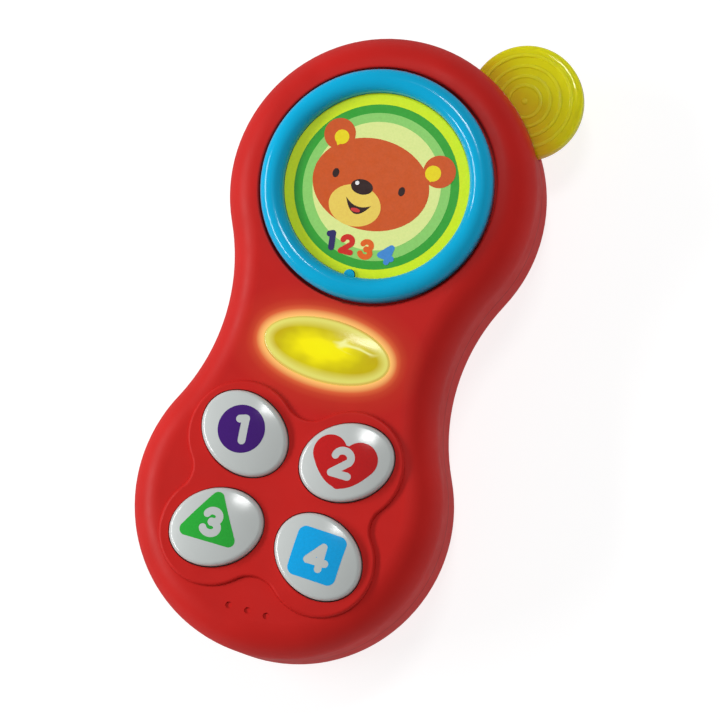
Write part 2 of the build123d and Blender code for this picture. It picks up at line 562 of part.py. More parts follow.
for number, (place, tilt) in BUTTON_PLACES.items():
    with BuildPart() as button:
        with BuildSketch(level(FLANGE_LOW_Z)):
            with Locations(place):
                Ellipse(BUTTON_LONG, BUTTON_SHORT, rotation=tilt)
        extrude(amount=BUTTON_TOP_Z - FLANGE_LOW_Z)
        with Locations((place.X, place.Y, BUTTON_TOP_Z - CROWN_RADIUS)):
            Sphere(CROWN_RADIUS, rotation=(90, 0, 0), mode=Mode.INTERSECT)
        fillet(button.edges().group_by(Axis.Z)[-1], CROWN_ROUND)
        with BuildSketch(level(FLANGE_LOW_Z)):
            with Locations(place):
                Ellipse(BUTTON_LONG + FLANGE_SPREAD, BUTTON_SHORT + FLANGE_SPREAD, rotation=tilt)
        extrude(amount=FLANGE_HIGH_Z - FLANGE_LOW_Z)
        with BuildSketch(level(FLANGE_LOW_Z)):
            with Locations(place):
                Ellipse(BUTTON_LONG - BUTTON_WALL, BUTTON_SHORT - BUTTON_WALL, rotation=tilt)
        extrude(amount=4.0, mode=Mode.SUBTRACT)
        posts([place], PLUNGER_RADIUS, PLUNGER_END_Z, FLANGE_LOW_Z + 4.5)
    save(button, f"button_{number}")

    with BuildPart() as dome:
        with BuildSketch(upright(place.X, place.Y)):
            Polygon((0, DOME_TOP_Z), (3.0, DOME_TOP_Z), (4.6, DOME_BASE_Z), (3.8, DOME_BASE_Z),
                    (2.4, DOME_TOP_Z - 1.2), (0, DOME_TOP_Z - 1.2), align=None)
        revolve(axis=Axis((place.X, place.Y, 0), (0, 0, 1)))
    save(dome, f"key_dome_{number}")

with BuildPart() as keypad_sheet:
    slab((-BOARD_HALF_WIDTH + 0.5, BOARD_HALF_WIDTH - 0.5), (KEYPAD_FOOT_Y, KEYPAD_HEAD_Y),
         (BOARD_TOP_Z, DOME_BASE_Z))
    fillet(keypad_sheet.edges().filter_by(Axis.Z), 4.0)
    posts(KEYPAD_SCREW_PLACES, 2.5, BOARD_TOP_Z, DOME_BASE_Z, Mode.SUBTRACT)
    posts([place for place, tilt in BUTTON_PLACES.values()], 3.8, BOARD_TOP_Z, DOME_BASE_Z, Mode.SUBTRACT)
save(keypad_sheet, "keypad_sheet")

# ---- Circuit board and what is on it ---------------------------------------------------------------
CHIP_PLACE = (0, -28)

with BuildPart() as main_board:
    slab((-BOARD_HALF_WIDTH, BOARD_HALF_WIDTH), (BOARD_FOOT_Y, BOARD_HEAD_Y), (BOARD_BOTTOM_Z, BOARD_TOP_Z))
    fillet(main_board.edges().filter_by(Axis.Z), 3.0)
    posts(BOARD_SCREW_PLACES, 1.1, BOARD_BOTTOM_Z, BOARD_TOP_Z, Mode.SUBTRACT)
save(main_board, "main_board")

board_screws = screw_group(BOARD_SCREW_PLACES, 2.0, BOARD_BOTTOM_Z - 1.3, 1.3, BOARD_SHANK_RADIUS, 6.0)
save(board_screws, "board_screws")

with BuildPart() as sound_chip:
    # Sound chip under its blob of resin
    posts([CHIP_PLACE], 4.5, BOARD_BOTTOM_Z - 1.4, BOARD_BOTTOM_Z)
    fillet(sound_chip.edges().group_by(Axis.Z)[0], 1.2)
save(sound_chip, "sound_chip")

with BuildPart() as board_components:
    # Small resistors and capacitors on the board's underside
    with BuildSketch(level(BOARD_BOTTOM_Z)):
        with Locations((0, -14)):
            with GridLocations(7, 6, 3, 2):
                Rectangle(3.2, 1.6)
        with Locations((0, -46)):
            with GridLocations(14, 6, 2, 2):
                Rectangle(2.0, 1.2)
    extrude(amount=-0.8)
save(board_components, "board_components")

# ---- Batteries and their contacts --------------------------------------------------------------------
NUB_RADIUS = 1.9
SPRING_LENGTH = 4.1
PLATE_HALF_WIDTH = 3.8
PLATE_Z = (3.6, 12.4)
PAD_RADIUS = 2.5


def cylinder_along_y(x, z, radius, low_y, high_y, mode=Mode.ADD, end_radius=None):
    """Round bar along Y between two places, tapered when an end radius is given."""
    with BuildSketch(Plane(origin=(x, low_y, z), x_dir=(1, 0, 0), z_dir=(0, 1, 0))) as start:
        Circle(radius)
    if end_radius is None:
        extrude(start.sketch, amount=high_y - low_y, mode=mode)
    else:
        with BuildSketch(Plane(origin=(x, high_y, z), x_dir=(1, 0, 0), z_dir=(0, 1, 0))) as end:
            Circle(end_radius)
        loft([start.sketch, end.sketch], mode=mode)


# Each battery rests its nub on a plate at one end and its base on a spring at the other.
for name, x, nub_end in (("battery_left", -BATTERY_X, 1), ("battery_right", BATTERY_X, -1)):
    plate_gap = CONTACT_THICKNESS + 0.6
    if nub_end > 0:
        nub_tip = BAY_HEAD_Y - plate_gap
    else:
        nub_tip = BAY_FOOT_Y + plate_gap
    can_near = nub_tip - nub_end * NUB_LENGTH
    can_far = nub_tip - nub_end * BATTERY_LENGTH
    with BuildPart() as battery:
        cylinder_along_y(x, BATTERY_Z, BATTERY_RADIUS, min(can_near, can_far), max(can_near, can_far))
        fillet(battery.edges().filter_by(GeomType.CIRCLE), 0.5)
        cylinder_along_y(x, BATTERY_Z, NUB_RADIUS, min(nub_tip, can_near), max(nub_tip, can_near))
    save(battery, name)

with BuildPart() as contact_positive:
    x = -BATTERY_X
    slab((x - PLATE_HALF_WIDTH, x + PLATE_HALF_WIDTH), (BAY_HEAD_Y - CONTACT_THICKNESS, BAY_HEAD_Y), PLATE_Z)
    cylinder_along_y(x, BATTERY_Z, PAD_RADIUS, BAY_HEAD_Y - CONTACT_THICKNESS - 0.6, BAY_HEAD_Y - CONTACT_THICKNESS)
    slab((x - 1, x + 1), (BAY_HEAD_Y - CONTACT_THICKNESS, BAY_HEAD_Y), (PLATE_Z[1], BAY_CEILING_Z + 3.2))
save(contact_positive, "contact_positive")

with BuildPart() as contact_negative:
    x = BATTERY_X
    slab((x - PLATE_HALF_WIDTH, x + PLATE_HALF_WIDTH), (BAY_HEAD_Y - CONTACT_THICKNESS, BAY_HEAD_Y), PLATE_Z)
    slab((x - 1, x + 1), (BAY_HEAD_Y - CONTACT_THICKNESS, BAY_HEAD_Y), (PLATE_Z[1], BAY_CEILING_Z + 3.2))
save(contact_negative, "contact_negative")

with BuildPart() as contact_bridge:
    slab((-BATTERY_X - PLATE_HALF_WIDTH, BATTERY_X + PLATE_HALF_WIDTH),
         (BAY_FOOT_Y, BAY_FOOT_Y + CONTACT_THICKNESS), PLATE_Z)
    cylinder_along_y(BATTERY_X, BATTERY_Z, PAD_RADIUS, BAY_FOOT_Y + CONTACT_THICKNESS,
                     BAY_FOOT_Y + CONTACT_THICKNESS + 0.6)
save(contact_bridge, "contact_bridge")

with BuildPart() as contact_springs:
    # Outer shape of the two tapered coil springs
    foot_plate = BAY_FOOT_Y + CONTACT_THICKNESS
    head_plate = BAY_HEAD_Y - CONTACT_THICKNESS
    cylinder_along_y(-BATTERY_X, BATTERY_Z, 3.4, foot_plate, foot_plate + SPRING_LENGTH, end_radius=2.2)
    cylinder_along_y(BATTERY_X, BATTERY_Z, 2.2, head_plate - SPRING_LENGTH, head_plate, end_radius=3.4)
save(contact_springs, "contact_springs")

# ---- Battery door with its screw ------------------------------------------------------------------------
DOOR_HEAD_RADIUS = 2.3
TAB_HEIGHT = 1.2

with BuildPart() as battery_door:
    slab((-DOOR_HALF_WIDTH, DOOR_HALF_WIDTH), (DOOR_FOOT_Y, DOOR_HEAD_Y), (0, DOOR_THICKNESS))
    fillet(battery_door.edges().filter_by(Axis.Z), 0.8)
    chamfer(battery_door.edges().group_by(Axis.Z)[0], 0.25)
    for x in (-DOOR_TAB_X, DOOR_TAB_X):
        tab = (x - DOOR_TAB_HALF_WIDTH, x + DOOR_TAB_HALF_WIDTH)
        slab(tab, (DOOR_FOOT_Y, DOOR_FOOT_Y + 1.2), (DOOR_THICKNESS, DOOR_THICKNESS + TAB_HEIGHT))
        slab(tab, (DOOR_FOOT_Y - DOOR_TAB_REACH, DOOR_FOOT_Y), (DOOR_THICKNESS + 0.4, DOOR_THICKNESS + TAB_HEIGHT))
    posts([(0, DOOR_SCREW_Y)], DOOR_HEAD_RADIUS + 0.3, 0, 1.2, Mode.SUBTRACT)
    posts([(0, DOOR_SCREW_Y)], 1.25, 0, DOOR_THICKNESS, Mode.SUBTRACT)
save(battery_door, "battery_door")

door_screw = screw_group([(0, DOOR_SCREW_Y)], DOOR_HEAD_RADIUS, 0.2, 1.0, 1.05, DOOR_SCREW_TIP_Z - 1.2)
save(door_screw, "door_screw")

# ---- Speaker ------------------------------------------------------------------------------------------------
SPEAKER_LOW_Z = 2.4
SPEAKER_FLANGE_Z = 4.0
BASKET_TOP_Z = 7.0
MAGNET_RADIUS = 6.5

with BuildPart() as speaker_frame:
    with BuildSketch(upright(0, SPEAKER_Y)):
        Polygon((11.2, SPEAKER_LOW_Z), (SPEAKER_RADIUS, SPEAKER_LOW_Z), (SPEAKER_RADIUS, SPEAKER_FLANGE_Z),
                (11.8, SPEAKER_FLANGE_Z), (7.5, BASKET_TOP_Z), (4.0, BASKET_TOP_Z), (4.0, BASKET_TOP_Z - 0.8),
                (7.2, BASKET_TOP_Z - 0.8), (11.2, SPEAKER_FLANGE_Z - 0.6), align=None)
    revolve(axis=Axis((0, SPEAKER_Y, 0), (0, 0, 1)))
    # Terminal strip
    slab((-4.5, 4.5), (SPEAKER_Y - 10.8, SPEAKER_Y - 7.0), (BASKET_TOP_Z - 1.2, BASKET_TOP_Z))
save(speaker_frame, "speaker_frame")

with BuildPart() as speaker_cone:
    with BuildSketch(upright(0, SPEAKER_Y)):
        Polygon((0, 4.4), (3.6, 4.4), (10.9, 2.7), (10.9, 3.1), (3.8, 5.0), (0, 5.0), align=None)
    revolve(axis=Axis((0, SPEAKER_Y, 0), (0, 0, 1)))
save(speaker_cone, "speaker_cone")

with BuildPart() as speaker_magnet:
    posts([(0, SPEAKER_Y)], MAGNET_RADIUS, BASKET_TOP_Z, BASKET_TOP_Z + 3.2)
    chamfer(speaker_magnet.edges().group_by(Axis.Z)[-1], 0.4)
save(speaker_magnet, "speaker_magnet")

with BuildPart() as speaker_retainer:
    with BuildSketch(level(SPEAKER_FLANGE_Z)):
        with Locations((0, SPEAKER_Y)):
            Circle(SPEAKER_RADIUS)
            Rectangle(2 * SPEAKER_EAR_X, 4.8)
        with Locations(*SPEAKER_SCREW_PLACES):
            Circle(2.4)
        with Locations((0, SPEAKER_Y)):
            Circle(12.2, mode=Mode.SUBTRACT)
    extrude(amount=1.0)
    posts(SPEAKER_SCREW_PLACES, 1.1, SPEAKER_FLANGE_Z, SPEAKER_FLANGE_Z + 1, Mode.SUBTRACT)
save(speaker_retainer, "speaker_retainer")

speaker_screws = screw_group(SPEAKER_SCREW_PLACES, 1.9, SPEAKER_FLANGE_Z + 2.2, 1.2, 0.85, -2.9)
save(speaker_screws, "speaker_screws")

# ---- On-off slider and the switch it moves --------------------------------------------------------------------
KNOB_X = SWITCH_TRAVEL / 2
SHOE_TOP_Z = SHOE_FLOOR_Z + 1.2
FORK_TOP_Z = 5.4
SWITCH_LOW_Z = 6.0
LEVER_HALF_WIDTH = 0.9

with BuildPart() as switch_slider:
    slab((KNOB_X - 7.5, KNOB_X + 7.5), (SWITCH_Y - SHOE_HALF_DEPTH, SWITCH_Y + SHOE_HALF_DEPTH),
         (SHOE_FLOOR_Z, SHOE_TOP_Z))
    slab((KNOB_X - 2.4, KNOB_X + 2.4), (SWITCH_Y - 2.1, SWITCH_Y + 2.1), (0.6, SHOE_FLOOR_Z))
    fillet(switch_slider.edges().group_by(Axis.Z)[0], 0.4)
    slab((KNOB_X - 2.2, KNOB_X + 2.2), (SWITCH_Y - 1.9, SWITCH_Y + 1.9), (SHOE_TOP_Z, FORK_TOP_Z))
    slab((KNOB_X - 1, KNOB_X + 1), (SWITCH_Y - 1, SWITCH_Y + 1), (SHOE_TOP_Z, FORK_TOP_Z), Mode.SUBTRACT)
save(switch_slider, "switch_slider")

with BuildPart() as switch_lever:
    slab((KNOB_X - LEVER_HALF_WIDTH, KNOB_X + LEVER_HALF_WIDTH),
         (SWITCH_Y - LEVER_HALF_WIDTH, SWITCH_Y + LEVER_HALF_WIDTH), (SHOE_TOP_Z + 0.2, SWITCH_LOW_Z + 0.8))
save(switch_lever, "switch_lever")

with BuildPart() as switch_body:
    slab((-5.2, 5.2), (SWITCH_Y - 2.8, SWITCH_Y + 2.8), (SWITCH_LOW_Z, SWITCH_LOW_Z + 3.4))
    slab((-2.6, 2.6), (SWITCH_Y - 8.2, SWITCH_Y + 8.2), (SWITCH_LOW_Z, SWITCH_LOW_Z + 0.6))
    slab((-3.3, 3.3), (SWITCH_Y - 1.3, SWITCH_Y + 1.3), (SWITCH_LOW_Z, SWITCH_LOW_Z + 1.3), Mode.SUBTRACT)
    posts(SWITCH_SCREW_PLACES, 1.0, SWITCH_LOW_Z, SWITCH_LOW_Z + 0.6, Mode.SUBTRACT)
save(switch_body, "switch_body")

switch_screws = screw_group(SWITCH_SCREW_PLACES, 1.6, SWITCH_LOW_Z + 1.6, 1.0, 0.75, -3.0)
save(switch_screws, "switch_screws")

# ---- Wires: battery to board and speaker to board, each a mirrored pair -----------------------------------------
BATTERY_WIRE = [(5.6, 0.5, 15.9), (6.4, 4.6, 16.3), (10.2, 6.6, 17.2), (13.6, 4.0, 18.2), (14.0, -0.5, 18.9)]
SPEAKER_WIRE = [(3.0, 34.5, 7.5), (3.6, 29.0, 8.4), (3.2, 23.5, 11.0), (2.6, 17.0, 12.8), (2.2, 10.5, 14.8),
                (2.4, 4.5, 17.4), (3.0, -1.5, 18.9)]
for colour, side in (("red", -1), ("black", 1)):
    battery_wire = wire([(side * x, y, z) for x, y, z in BATTERY_WIRE])
    save(battery_wire, f"battery_wire_{colour}")
    speaker_wire = wire([(side * x, y, z) for x, y, z in SPEAKER_WIRE])
    save(speaker_wire, f"speaker_wire_{colour}")
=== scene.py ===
"""Looks of the toy cell phone: materials, printed pictures, fine moulded detail, light and camera.

Everything is in metres in the CAD model's own frame: +X to the phone's right, +Y towards its head
and +Z out of its face, with the phone lying on its back at z = 0.
"""
import json
from math import atan2, ceil, cos, degrees, inf, pi, radians, sin, sqrt

import bmesh
import bpy
import numpy as np
from mathutils import Matrix, Vector
from mathutils.geometry import delaunay_2d_cdt

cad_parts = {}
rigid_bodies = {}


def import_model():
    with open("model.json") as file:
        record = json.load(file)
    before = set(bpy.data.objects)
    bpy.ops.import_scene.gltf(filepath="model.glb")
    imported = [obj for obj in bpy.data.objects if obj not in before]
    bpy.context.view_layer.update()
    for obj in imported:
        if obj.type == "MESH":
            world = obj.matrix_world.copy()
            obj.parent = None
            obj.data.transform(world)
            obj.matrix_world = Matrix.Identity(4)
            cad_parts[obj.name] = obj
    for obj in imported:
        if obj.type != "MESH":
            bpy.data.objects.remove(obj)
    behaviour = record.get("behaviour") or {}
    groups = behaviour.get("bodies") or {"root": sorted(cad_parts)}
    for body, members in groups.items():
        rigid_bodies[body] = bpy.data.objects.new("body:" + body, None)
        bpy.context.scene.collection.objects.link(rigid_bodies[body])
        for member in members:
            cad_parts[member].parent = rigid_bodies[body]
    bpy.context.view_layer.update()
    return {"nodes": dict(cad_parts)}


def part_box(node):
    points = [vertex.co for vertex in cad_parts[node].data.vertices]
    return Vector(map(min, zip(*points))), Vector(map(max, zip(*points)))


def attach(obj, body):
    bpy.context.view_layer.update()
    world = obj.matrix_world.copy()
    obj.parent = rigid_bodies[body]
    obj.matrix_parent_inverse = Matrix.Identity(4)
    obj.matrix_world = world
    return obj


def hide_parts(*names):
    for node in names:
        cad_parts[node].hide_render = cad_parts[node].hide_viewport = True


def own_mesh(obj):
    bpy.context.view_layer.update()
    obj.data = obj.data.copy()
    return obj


for leftover in list(bpy.data.objects):
    bpy.data.objects.remove(leftover, do_unlink=True)
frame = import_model()
NODES = frame["nodes"]

MM = 0.001
MICRON = 0.000001


# ---- Colours and shader helpers ------------------------------------------------------------------
def rgb(red, green, blue):
    """Linear colour from a 0-255 screen colour."""
    def linear(value):
        value /= 255
        return value / 12.92 if value <= 0.04045 else ((value + 0.055) / 1.055) ** 2.4
    return (linear(red), linear(green), linear(blue), 1.0)


def scaled(colour, factor):
    """The colour made lighter or darker."""
    return tuple(min(channel * factor, 1.0) for channel in colour[:3]) + (1.0,)


def set_sockets(shader, values):
    """Sets the shader's named inputs."""
    for name, value in values.items():
        shader.inputs[name].default_value = value


def start_material(name):
    """New node material: (material, its tree, its surface shader)."""
    material = bpy.data.materials.new(name)
    material.use_nodes = True
    tree = material.node_tree
    return material, tree, tree.nodes["Principled BSDF"]


def place_coordinates(tree, scale=(1, 1, 1), centre=(0, 0, 0)):
    """Object coordinates, moved so that the centre is zero and then scaled."""
    source = tree.nodes.new("ShaderNodeTexCoord")
    mapping = tree.nodes.new("ShaderNodeMapping")
    mapping.inputs["Scale"].default_value = scale
    mapping.inputs["Location"].default_value = [-c * s for c, s in zip(centre, scale)]
    tree.links.new(source.outputs["Object"], mapping.inputs["Vector"])
    return mapping.outputs["Vector"]


def length_of(tree, vector):
    """Length of a vector."""
    made = tree.nodes.new("ShaderNodeVectorMath")
    made.operation = "LENGTH"
    tree.links.new(vector, made.inputs[0])
    return made.outputs["Value"]


def part_of(tree, vector, axis):
    """One part of a vector: its X, Y or Z."""
    split = tree.nodes.new("ShaderNodeSeparateXYZ")
    tree.links.new(vector, split.inputs[0])
    return split.outputs[axis]


def noise(tree, vector, feature, detail=2.0):
    """Soft noise whose blotches are about `feature` metres wide."""
    texture = tree.nodes.new("ShaderNodeTexNoise")
    texture.inputs["Scale"].default_value = 1 / feature
    texture.inputs["Detail"].default_value = detail
    tree.links.new(vector, texture.inputs["Vector"])
    return texture.outputs["Fac"]


def spread(tree, value, low, high, start=0.3, end=0.7):
    """The value's range from start to end, spread over low to high."""
    ranger = tree.nodes.new("ShaderNodeMapRange")
    for socket, number in (("From Min", start), ("From Max", end), ("To Min", low), ("To Max", high)):
        ranger.inputs[socket].default_value = number
    tree.links.new(value, ranger.inputs["Value"])
    return ranger.outputs["Result"]


def mix_colours(tree, factor, first, second, blend="MIX"):
    """Colour mix; the factor and both colours may be sockets or plain values."""
    mixer = tree.nodes.new("ShaderNodeMix")
    mixer.data_type = "RGBA"
    mixer.blend_type = blend
    for name, value in (("Factor_Float", factor), ("A_Color", first), ("B_Color", second)):
        socket = next(entry for entry in mixer.inputs if entry.identifier == name)
        if isinstance(value, bpy.types.NodeSocket):
            tree.links.new(value, socket)
        else:
            socket.default_value = value
    return next(entry for entry in mixer.outputs if entry.identifier == "Result_Color")


def bump(tree, shader, *layers):
    """Adds up bump layers, each (height socket, depth in metres), on the shader's normal."""
    normal = None
    for height, depth in layers:
        bumper = tree.nodes.new("ShaderNodeBump")
        bumper.inputs["Strength"].default_value = 1.0
        bumper.inputs["Distance"].default_value = depth
        tree.links.new(height, bumper.inputs["Height"])
        if normal is not None:
            tree.links.new(normal, bumper.inputs["Normal"])
        normal = bumper.outputs["Normal"]
    tree.links.new(normal, shader.inputs["Normal"])


FLOW_SIZE, SMEAR_SIZE, RIPPLE_SIZE, GRAIN_SIZE = 18 * MM, 5 * MM, 3.2 * MM, 0.35 * MM
GRAIN_DEPTH = 1.6 * MICRON


def moulded_plastic(name, colour, roughness=0.3, mottle=0.06, ripple=12 * MICRON, specular=0.5):
    """Injection-moulded plastic: faint flow mottling, slow ripple, fine grain and uneven gloss."""
    material, tree, shader = start_material(name)
    spot = place_coordinates(tree)
    flow = spread(tree, noise(tree, spot, FLOW_SIZE, 3.0), 0.0, 1.0)
    tint = mix_colours(tree, flow, scaled(colour, 1 - mottle), scaled(colour, 1 + mottle))
    tree.links.new(tint, shader.inputs["Base Color"])
    smear = noise(tree, spot, SMEAR_SIZE, 4.0)
    tree.links.new(spread(tree, smear, roughness * 0.88, roughness * 1.14), shader.inputs["Roughness"])
    set_sockets(shader, {"Specular IOR Level": specular})
    bump(tree, shader, (noise(tree, spot, RIPPLE_SIZE), ripple),
         (noise(tree, spot, GRAIN_SIZE), GRAIN_DEPTH))
    return material


def printed_ink(name, colour, roughness=0.34):
    """Printed film: flat ink with a faint screen grain."""
    material, tree, shader = start_material(name)
    spot = place_coordinates(tree)
    grain = spread(tree, noise(tree, spot, 0.5 * MM, 3.0), 0.0, 1.0)
    tint = mix_colours(tree, grain, scaled(colour, 0.95), scaled(colour, 1.05))
    tree.links.new(tint, shader.inputs["Base Color"])
    tree.links.new(spread(tree, noise(tree, spot, 2 * MM), roughness * 0.9, roughness * 1.15),
                   shader.inputs["Roughness"])
    bump(tree, shader, (noise(tree, spot, 0.4 * MM), 1.5 * MICRON))
    return material


def plated_metal(name, colour, roughness=0.28):
    """Plated or rolled metal: fine drawn streaks and slight tarnish."""
    material, tree, shader = start_material(name)
    spot = place_coordinates(tree)
    streaks = place_coordinates(tree, scale=(1, 6, 1))
    tarnish = spread(tree, noise(tree, spot, 2.5 * MM, 4.0), 0.0, 1.0)
    tint = mix_colours(tree, tarnish, scaled(colour, 0.82), colour)
    tree.links.new(tint, shader.inputs["Base Color"])
    set_sockets(shader, {"Metallic": 1.0})
    tree.links.new(spread(tree, noise(tree, streaks, 0.4 * MM), roughness * 0.8, roughness * 1.3),
                   shader.inputs["Roughness"])
    bump(tree, shader, (noise(tree, streaks, 0.25 * MM), 2 * MICRON))
    return material


def soft_rubber(name, colour):
    """Silicone or cable sleeve: matt, slightly dusty."""
    material, tree, shader = start_material(name)
    spot = place_coordinates(tree)
    dust = spread(tree, noise(tree, spot, 3 * MM, 4.0), 0.0, 1.0)
    tree.links.new(mix_colours(tree, dust, scaled(colour, 0.9), scaled(colour, 1.12)),
                   shader.inputs["Base Color"])
    set_sockets(shader, {"Roughness": 0.62})
    bump(tree, shader, (noise(tree, spot, 0.3 * MM), 4 * MICRON))
    return material


def wear(node, material):
    """Puts the material on a CAD node's object, in place of its plain colour."""
    thing = NODES[node]
    for entry in thing.material_slots:
        entry.link = "DATA"
        entry.material = material


# ---- Flat outlines, in millimetres ---------------------------------------------------------------
def oval(x, y, width, height=None, tilt=0.0, steps=72):
    """Ellipse of the given half-width and half-height, turned by tilt degrees."""
    height = width if height is None else height
    turn = radians(tilt)
    around = [2 * pi * step / steps for step in range(steps)]
    return [(x + width * cos(a) * cos(turn) - height * sin(a) * sin(turn),
             y + width * cos(a) * sin(turn) + height * sin(a) * cos(turn)) for a in around]


def sweep_points(x, y, width, height, start, end, steps=22):
    """Points along an elliptical arc from start to end, in degrees."""
    angles = [radians(start + (end - start) * step / steps) for step in range(steps + 1)]
    return [(x + width * cos(a), y + height * sin(a)) for a in angles]


def bowed(start, middle, end, steps=16):
    """Points on the smooth curve that passes start, middle and end."""
    control = [2 * m - (s + e) / 2 for s, m, e in zip(start, middle, end)]
    spots = []
    for step in range(steps + 1):
        t = step / steps
        spots.append(tuple((1 - t) ** 2 * s + 2 * t * (1 - t) * c + t * t * e
                           for s, c, e in zip(start, control, end)))
    return spots


def softened(corners, radius, steps=8):
    """Polygon with every corner rounded to the radius."""
    outline = []
    for number, corner in enumerate(corners):
        here = Vector(corner)
        back = (Vector(corners[number - 1]) - here).normalized()
        ahead = (Vector(corners[(number + 1) % len(corners)]) - here).normalized()
        half = back.angle(ahead) / 2
        centre = here + (back + ahead).normalized() * radius / sin(half)
        first = here + back * radius * cos(half) / sin(half) - centre
        last = here + ahead * radius * cos(half) / sin(half) - centre
        for step in range(steps + 1):
            blended = first.lerp(last, step / steps).normalized() * radius
            outline.append(tuple(centre + blended))
    return outline


def stroke(points, width):
    """Ribbon of even width along the points, with round ends."""
    path = [Vector(point) for point in points]
    ways = [(after - before).normalized() for before, after in zip(path, path[1:])]
    joints = [ways[0]] + [(a + b).normalized() for a, b in zip(ways, ways[1:])] + [ways[-1]]
    sides = [Vector((-way.y, way.x)) * width / 2 for way in joints]
    left = [tuple(point + side) for point, side in zip(path, sides)]
    right = [tuple(point - side) for point, side in zip(path, sides)]
    out_angle = degrees(atan2(sides[-1].y, sides[-1].x))
    in_angle = degrees(atan2(sides[0].y, sides[0].x))
    far_cap = sweep_points(*path[-1], width / 2, width / 2, out_angle, out_angle - 180, 10)[1:-1]
    near_cap = sweep_points(*path[0], width / 2, width / 2, in_angle + 180, in_angle, 10)[1:-1]
    return left + far_cap + right[::-1] + near_cap


# The pen's path for each digit, in a square from -0.5 to 0.5
DIGIT_STROKES = {
    1: [[(-0.62, 0.42), (0.10, 0.50)], [(0.10, 0.50), (0.38, -0.50)]],
    2: [sweep_points(-0.02, 0.20, 0.46, 0.30, 172, -28) + [(-0.46, -0.50)],
        [(-0.46, -0.50), (0.50, -0.50)]],
    3: [sweep_points(-0.06, 0.25, 0.44, 0.25, 165, -90),
        sweep_points(-0.06, -0.24, 0.50, 0.26, 90, -160)],
    4: [[(0.20, 0.50), (-0.50, -0.20)], [(-0.50, -0.20), (0.50, -0.20)], [(0.20, 0.50), (0.22, -0.50)]],
}


def digit(number, x, y, width, height, pen, tilt=0.0):
    """Rounded digit as ribbons: its middle, its full size, the pen's width and its lean."""
    turn = Matrix.Rotation(radians(tilt), 2)
    ribbons = []
    for line in DIGIT_STROKES[number]:
        points = [turn @ Vector((px * (width - pen), py * (height - pen))) for px, py in line]
        ribbons.append(stroke([(x + point.x, y + point.y) for point in points], pen))
    return ribbons


def covers(outlines, spots):
    """Which of the spots lie inside any of the outlines."""
    inside = np.zeros(len(spots), bool)
    px, py = spots[:, :1], spots[:, 1:]
    for outline in outlines:
        x0, y0 = np.array(outline).T
        x1, y1 = np.roll(x0, -1), np.roll(y0, -1)
        side = (x1 - x0) * (py - y0) - (px - x0) * (y1 - y0)
        upward = (y0 <= py) & (y1 > py) & (side > 0)
        downward = (y0 > py) & (y1 <= py) & (side < 0)
        inside |= upward.sum(1) != downward.sum(1)
    return inside


def divided(outline, longest):
    """The same outline with no edge longer than the given length."""
    spots = []
    for start, end in zip(outline, outline[1:] + outline[:1]):
        start, end = Vector(start), Vector(end)
        pieces = max(1, ceil((end - start).length / longest))
        spots += [tuple(start.lerp(end, step / pieces)) for step in range(pieces)]
    return spots


# ---- Printed films -------------------------------------------------------------------------------
CREASE = radians(35)        # edges sharper than this are left unsmoothed
FILM_SINK = 0.01 * MM       # how far a film's underside sinks into what it lies on
OUTLINE_WELD = 0.00001      # outline points nearer than this, in millimetres, are one


def plain_mesh(name, corners, faces, material):
    """Mesh object from points in metres, shaded smooth except across sharp edges."""
    mesh = bpy.data.meshes.new(name)
    mesh.from_pydata([tuple(corner) for corner in corners], [], faces)
    mesh.materials.append(material)
    mesh.polygons.foreach_set("use_smooth", [True] * len(mesh.polygons))
    mesh.set_sharp_from_angle(angle=CREASE)
    thing = bpy.data.objects.new(name, mesh)
    bpy.context.scene.collection.objects.link(thing)
    return thing


def film(name, fills, cuts, origin, surface, thickness, material, spacing=None, highest=inf):
    """Thin closed film covering the fills less the cuts, laid on the surface.

    Outlines are in millimetres from the origin, a point in metres. The surface is a function from
    x and y in metres, from the origin, to a height. Spacing adds inner points for a curved surface,
    and highest is a height that the film doesn't rise above.
    """
    corners, edges = [], []
    if spacing:
        fills = [divided(outline, spacing) for outline in fills]
        cuts = [divided(outline, spacing) for outline in cuts]
    for outline in fills + cuts:
        first = len(corners)
        corners += [Vector(point) for point in outline]
        edges += [(first + n, first + (n + 1) % len(outline)) for n in range(len(outline))]
    if spacing:
        low = [min(corner[axis] for corner in corners) for axis in (0, 1)]
        high = [max(corner[axis] for corner in corners) for axis in (0, 1)]
        corners += [Vector((x, y)) for x in np.arange(low[0], high[0], spacing)
                    for y in np.arange(low[1], high[1], spacing)]
    spots, _, faces, *_ = delaunay_2d_cdt(corners, edges, [], 0, OUTLINE_WELD)
    flat = np.array([tuple(spot) for spot in spots])
    middles = np.array([flat[list(face)].mean(0) for face in faces])
    kept = covers(fills, middles)
    if cuts:
        kept &= ~covers(cuts, middles)
    faces = [list(face) for face, keep in zip(faces, kept) if keep]
    used = sorted({corner for face in faces for corner in face})
    renumbered = {corner: place for place, corner in enumerate(used)}
    count = len(used)
    top, bottom = [], []
    for corner in used:
        x, y = flat[corner] * MM
        height = surface(x, y)
        top.append((origin[0] + x, origin[1] + y, min(height + thickness, highest)))
        bottom.append((origin[0] + x, origin[1] + y, height - FILM_SINK))
    upper = []
    for face in faces:
        a, b, c = (flat[corner] for corner in face[:3])
        if (b[0] - a[0]) * (c[1] - a[1]) - (b[1] - a[1]) * (c[0] - a[0]) < 0:
            face.reverse()
        upper.append([renumbered[corner] for corner in face])
    lower = [[corner + count for corner in reversed(face)] for face in upper]
    sides = {(a, b) for face in upper for a, b in zip(face, face[1:] + face[:1])}
    walls = [[b, a, a + count, b + count] for a, b in sides if (b, a) not in sides]
    thing = plain_mesh(name, top + bottom, upper + lower + walls, material)
    return thing


